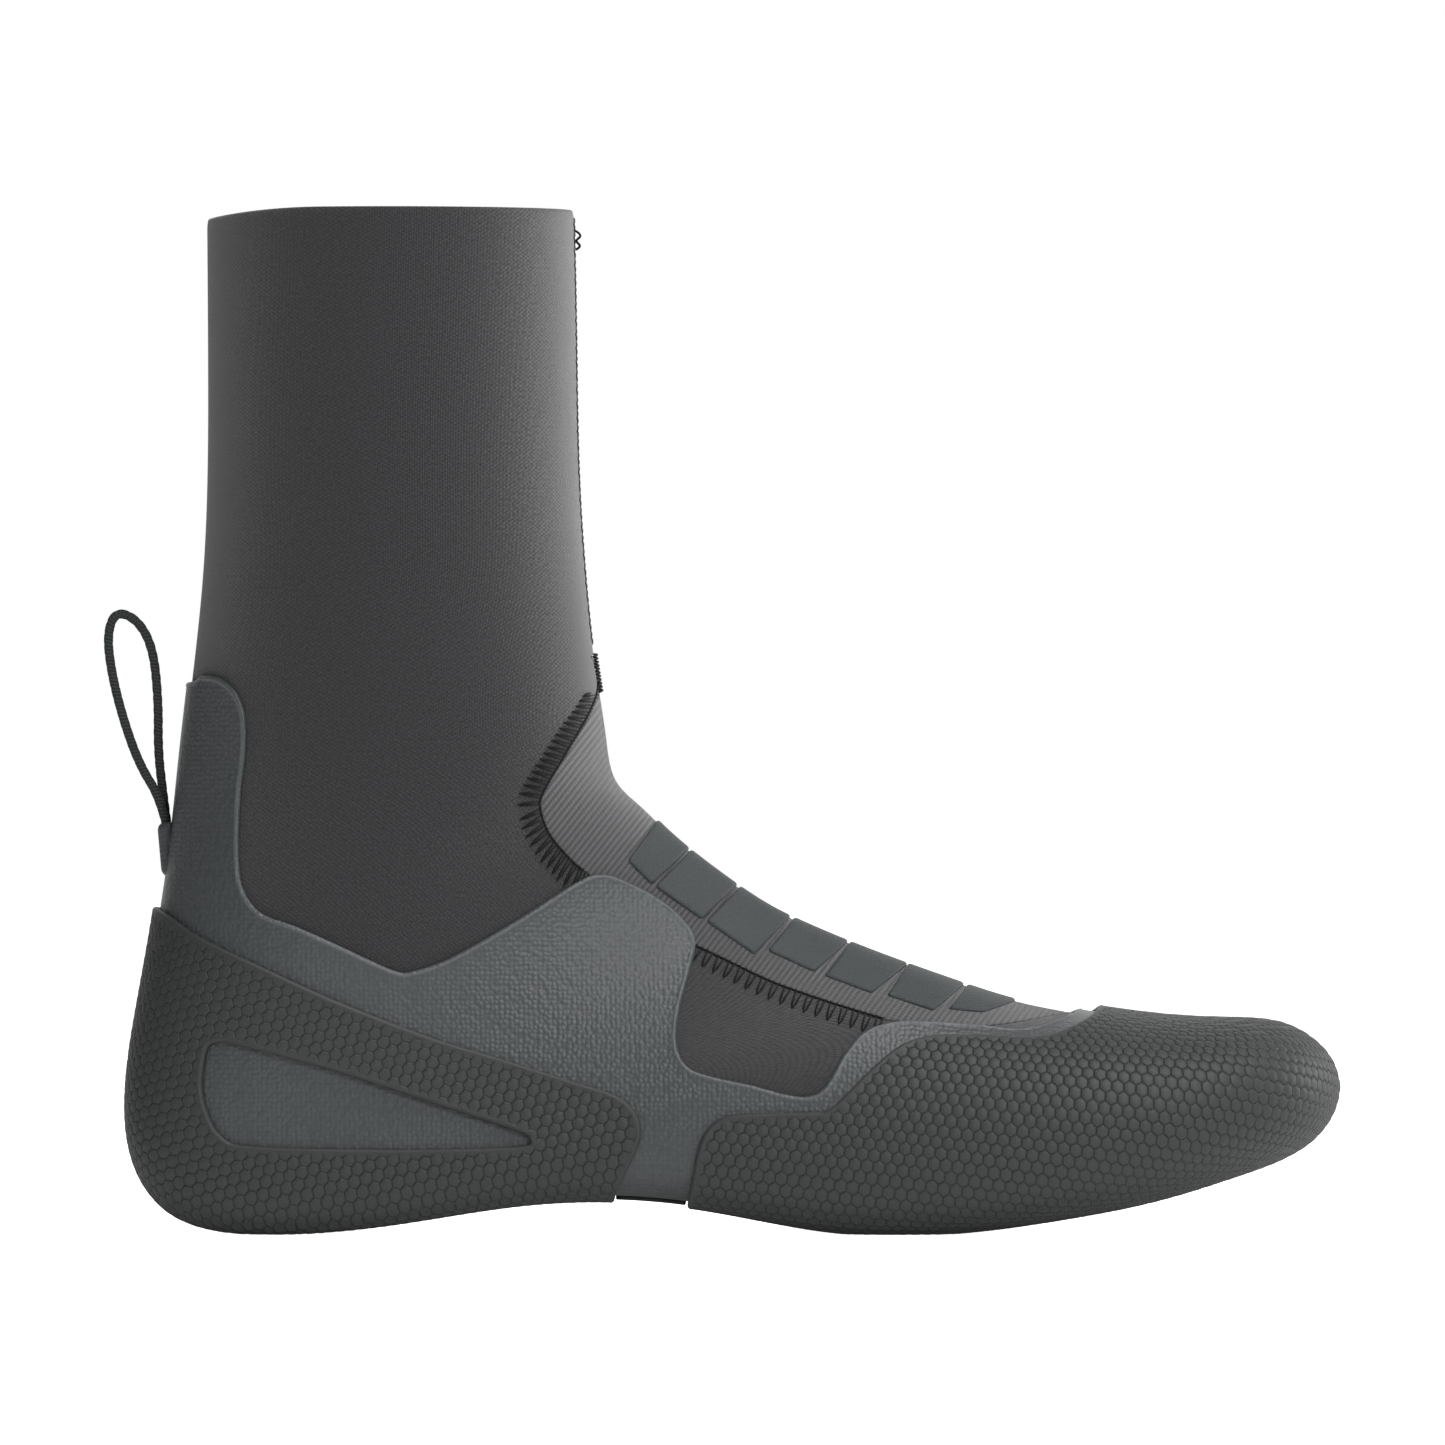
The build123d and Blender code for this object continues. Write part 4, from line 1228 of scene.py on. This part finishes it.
# %% The finishes of this boot
# The first two colours of each knit are its painted valley shade and painted crest highlight.
shaft_knit = knit_material("shaft_knit", (0.010, 0.010, 0.011, 1), (0.066, 0.066, 0.07, 1),
                           0.0008, 0.00095, 0.00012, 0.55)
lining_finish = knit_material("lining_knit_finish", (0.01, 0.01, 0.011, 1),
                              (0.05, 0.05, 0.055, 1), 0.0012, 0.0012, 0.0002, 0.3)
# The overlay's second colour is the painted highlight along its bead.
overlay_finish = rubber_material("overlay_rubber_finish", (0.072, 0.080, 0.083, 1),
                                 (0.11, 0.12, 0.124, 1), 0.00115, 0.0002, 0.45, 0.5)
# The second colour of each cap is the painted shade in its hexagon grooves.
heel_finish, toe_finish = [
    cap_material(name, pitch * MM, (0.038, 0.041, 0.040, 1), (0.007, 0.008, 0.008, 1))
    for name, pitch in (("heel_rubber_finish", HEEL_PITCH), ("toe_rubber_finish", TOE_PITCH))]
strip_finish = rubber_material("strip_rubber_finish", (0.038, 0.041, 0.040, 1),
                               (0.02, 0.022, 0.022, 1), 0.0007, 0.00008, 0.55)
pad_finish = rubber_material("pad_rubber_finish", (0.058, 0.067, 0.067, 1),
                             (0.06, 0.07, 0.075, 1), 0.0006, 0.00014, 0.6, 0.35)
insole_finish = rubber_material("insole_foam_finish", (0.05, 0.05, 0.055, 1),
                                (0.03, 0.03, 0.03, 1), 0.0008, 0.00012, 0.85, 0.2)
black_thread = thread_material("black_thread", (0.006, 0.006, 0.007, 1), 0.0012)
knit_thread = thread_material("knit_coloured_thread", (0.05, 0.05, 0.053, 1), 0.0012)
cord_finish = thread_material("braided_cord_finish", (0.05, 0.056, 0.055, 1), 0.0017)

rib_finish, tree, shader = start_material("instep_rib_finish", 0.8, 0.5, 0.3)
ribs = place_group(tree, rib_group, Map=uv_place(tree, "side_view"), Pitch=0.00125,
                   Slope=radians(52))
loops = place_group(tree, knit_group, Map=uv_place(tree, "around_and_along"), Column=0.0007,
                    Row=0.0008)
both = sums(tree, "MULTIPLY_ADD", loops.outputs["Height"], 0.35,
            sums(tree, "MULTIPLY", ribs.outputs["Height"], 0.65))
# Painted shade in the rib valleys and painted highlight on the rib crests, following their height.
feed(tree, shader.inputs["Base Color"], mix_colour(tree, both, (0.03, 0.03, 0.032, 1),
                                                   (0.125, 0.124, 0.13, 1)))
add_bump(tree, shader, both, 0.00035)

print(len(bpy.data.materials), "finishes and", len(bpy.data.node_groups), "shared patterns")

# %% Give each piece its finish
for piece, finish in ((neoprene_upper, shaft_knit), (sole_foam, shaft_knit),
                      (instep_knit, rib_finish), (lining, lining_finish),
                      (insole, insole_finish), (overlay, overlay_finish), (heel_cap, heel_finish),
                      (toe_cap, toe_finish), (arch_strip, strip_finish), (nub, overlay_finish),
                      (throat_thread, black_thread), (instep_thread, black_thread),
                      (front_thread, knit_thread), (thread_end, black_thread),
                      (pull_loop, cord_finish),
                      *[(pad, pad_finish) for pad in pads]):
    piece.data.materials.clear()
    piece.data.materials.append(finish)

# %% [markdown]
# ## The studio
# A pale floor, an even pale surround and large soft lights: the boot is dark and matt, so its
# shape shows through the light that it catches at its edges.  The panel behind the boot gives
# that edge light.

# %% Floor and light
FLOOR_REACH = 9.0
bpy.ops.object.select_all(action="DESELECT")
bpy.ops.mesh.primitive_grid_add(x_subdivisions=8, y_subdivisions=8, size=2 * FLOOR_REACH)
floor = bpy.context.object
floor.name = floor.data.name = "studio_floor"
paper, tree, shader = start_material("floor_paper", 0.95)
shader.inputs["Base Color"].default_value = (0.92, 0.92, 0.92, 1)
shader.inputs["Emission Color"].default_value = (1, 1, 1, 1)
floor_seen = node(tree, "ShaderNodeLightPath").outputs["Is Camera Ray"]
feed(tree, shader.inputs["Emission Strength"], sums(tree, "MULTIPLY_ADD", floor_seen, 1.0, 0.12))
floor.data.materials.append(paper)

world = bpy.data.worlds.new("studio")
bpy.context.scene.world = world
world.use_nodes = True
world.node_tree.nodes["Background"].inputs["Color"].default_value = (1, 1, 1, 1)
seen = node(world.node_tree, "ShaderNodeLightPath").outputs["Is Camera Ray"]
feed(world.node_tree, world.node_tree.nodes["Background"].inputs["Strength"],
     sums(world.node_tree, "MULTIPLY_ADD", seen, 0.82, 0.18))


def soft_light(name, place, aim, size, power):
    data = bpy.data.lights.new(name, "AREA")
    data.shape = "DISK"
    data.size, data.energy = size, power
    light = bpy.data.objects.new(name, data)
    light.location = place
    light.rotation_euler = (Vector(aim) - Vector(place)).to_track_quat("-Z", "Y").to_euler()
    light.visible_camera = False
    bpy.context.scene.collection.objects.link(light)


soft_light("top", (0.5, -0.4, 1.6), (0, 0, 0.1), 0.9, 16)
soft_light("front_right", (0.8, -1.6, 1.0), (0, 0, 0.1), 0.7, 15)
soft_light("right_rim", (1.4, 0.8, 0.5), (0, 0, 0.12), 0.8, 9)
soft_light("back_panel", (0, 2.5, 0.8), (0, 0, 0.12), 3.0, 26)
bpy.context.scene.view_settings.view_transform = "Standard"
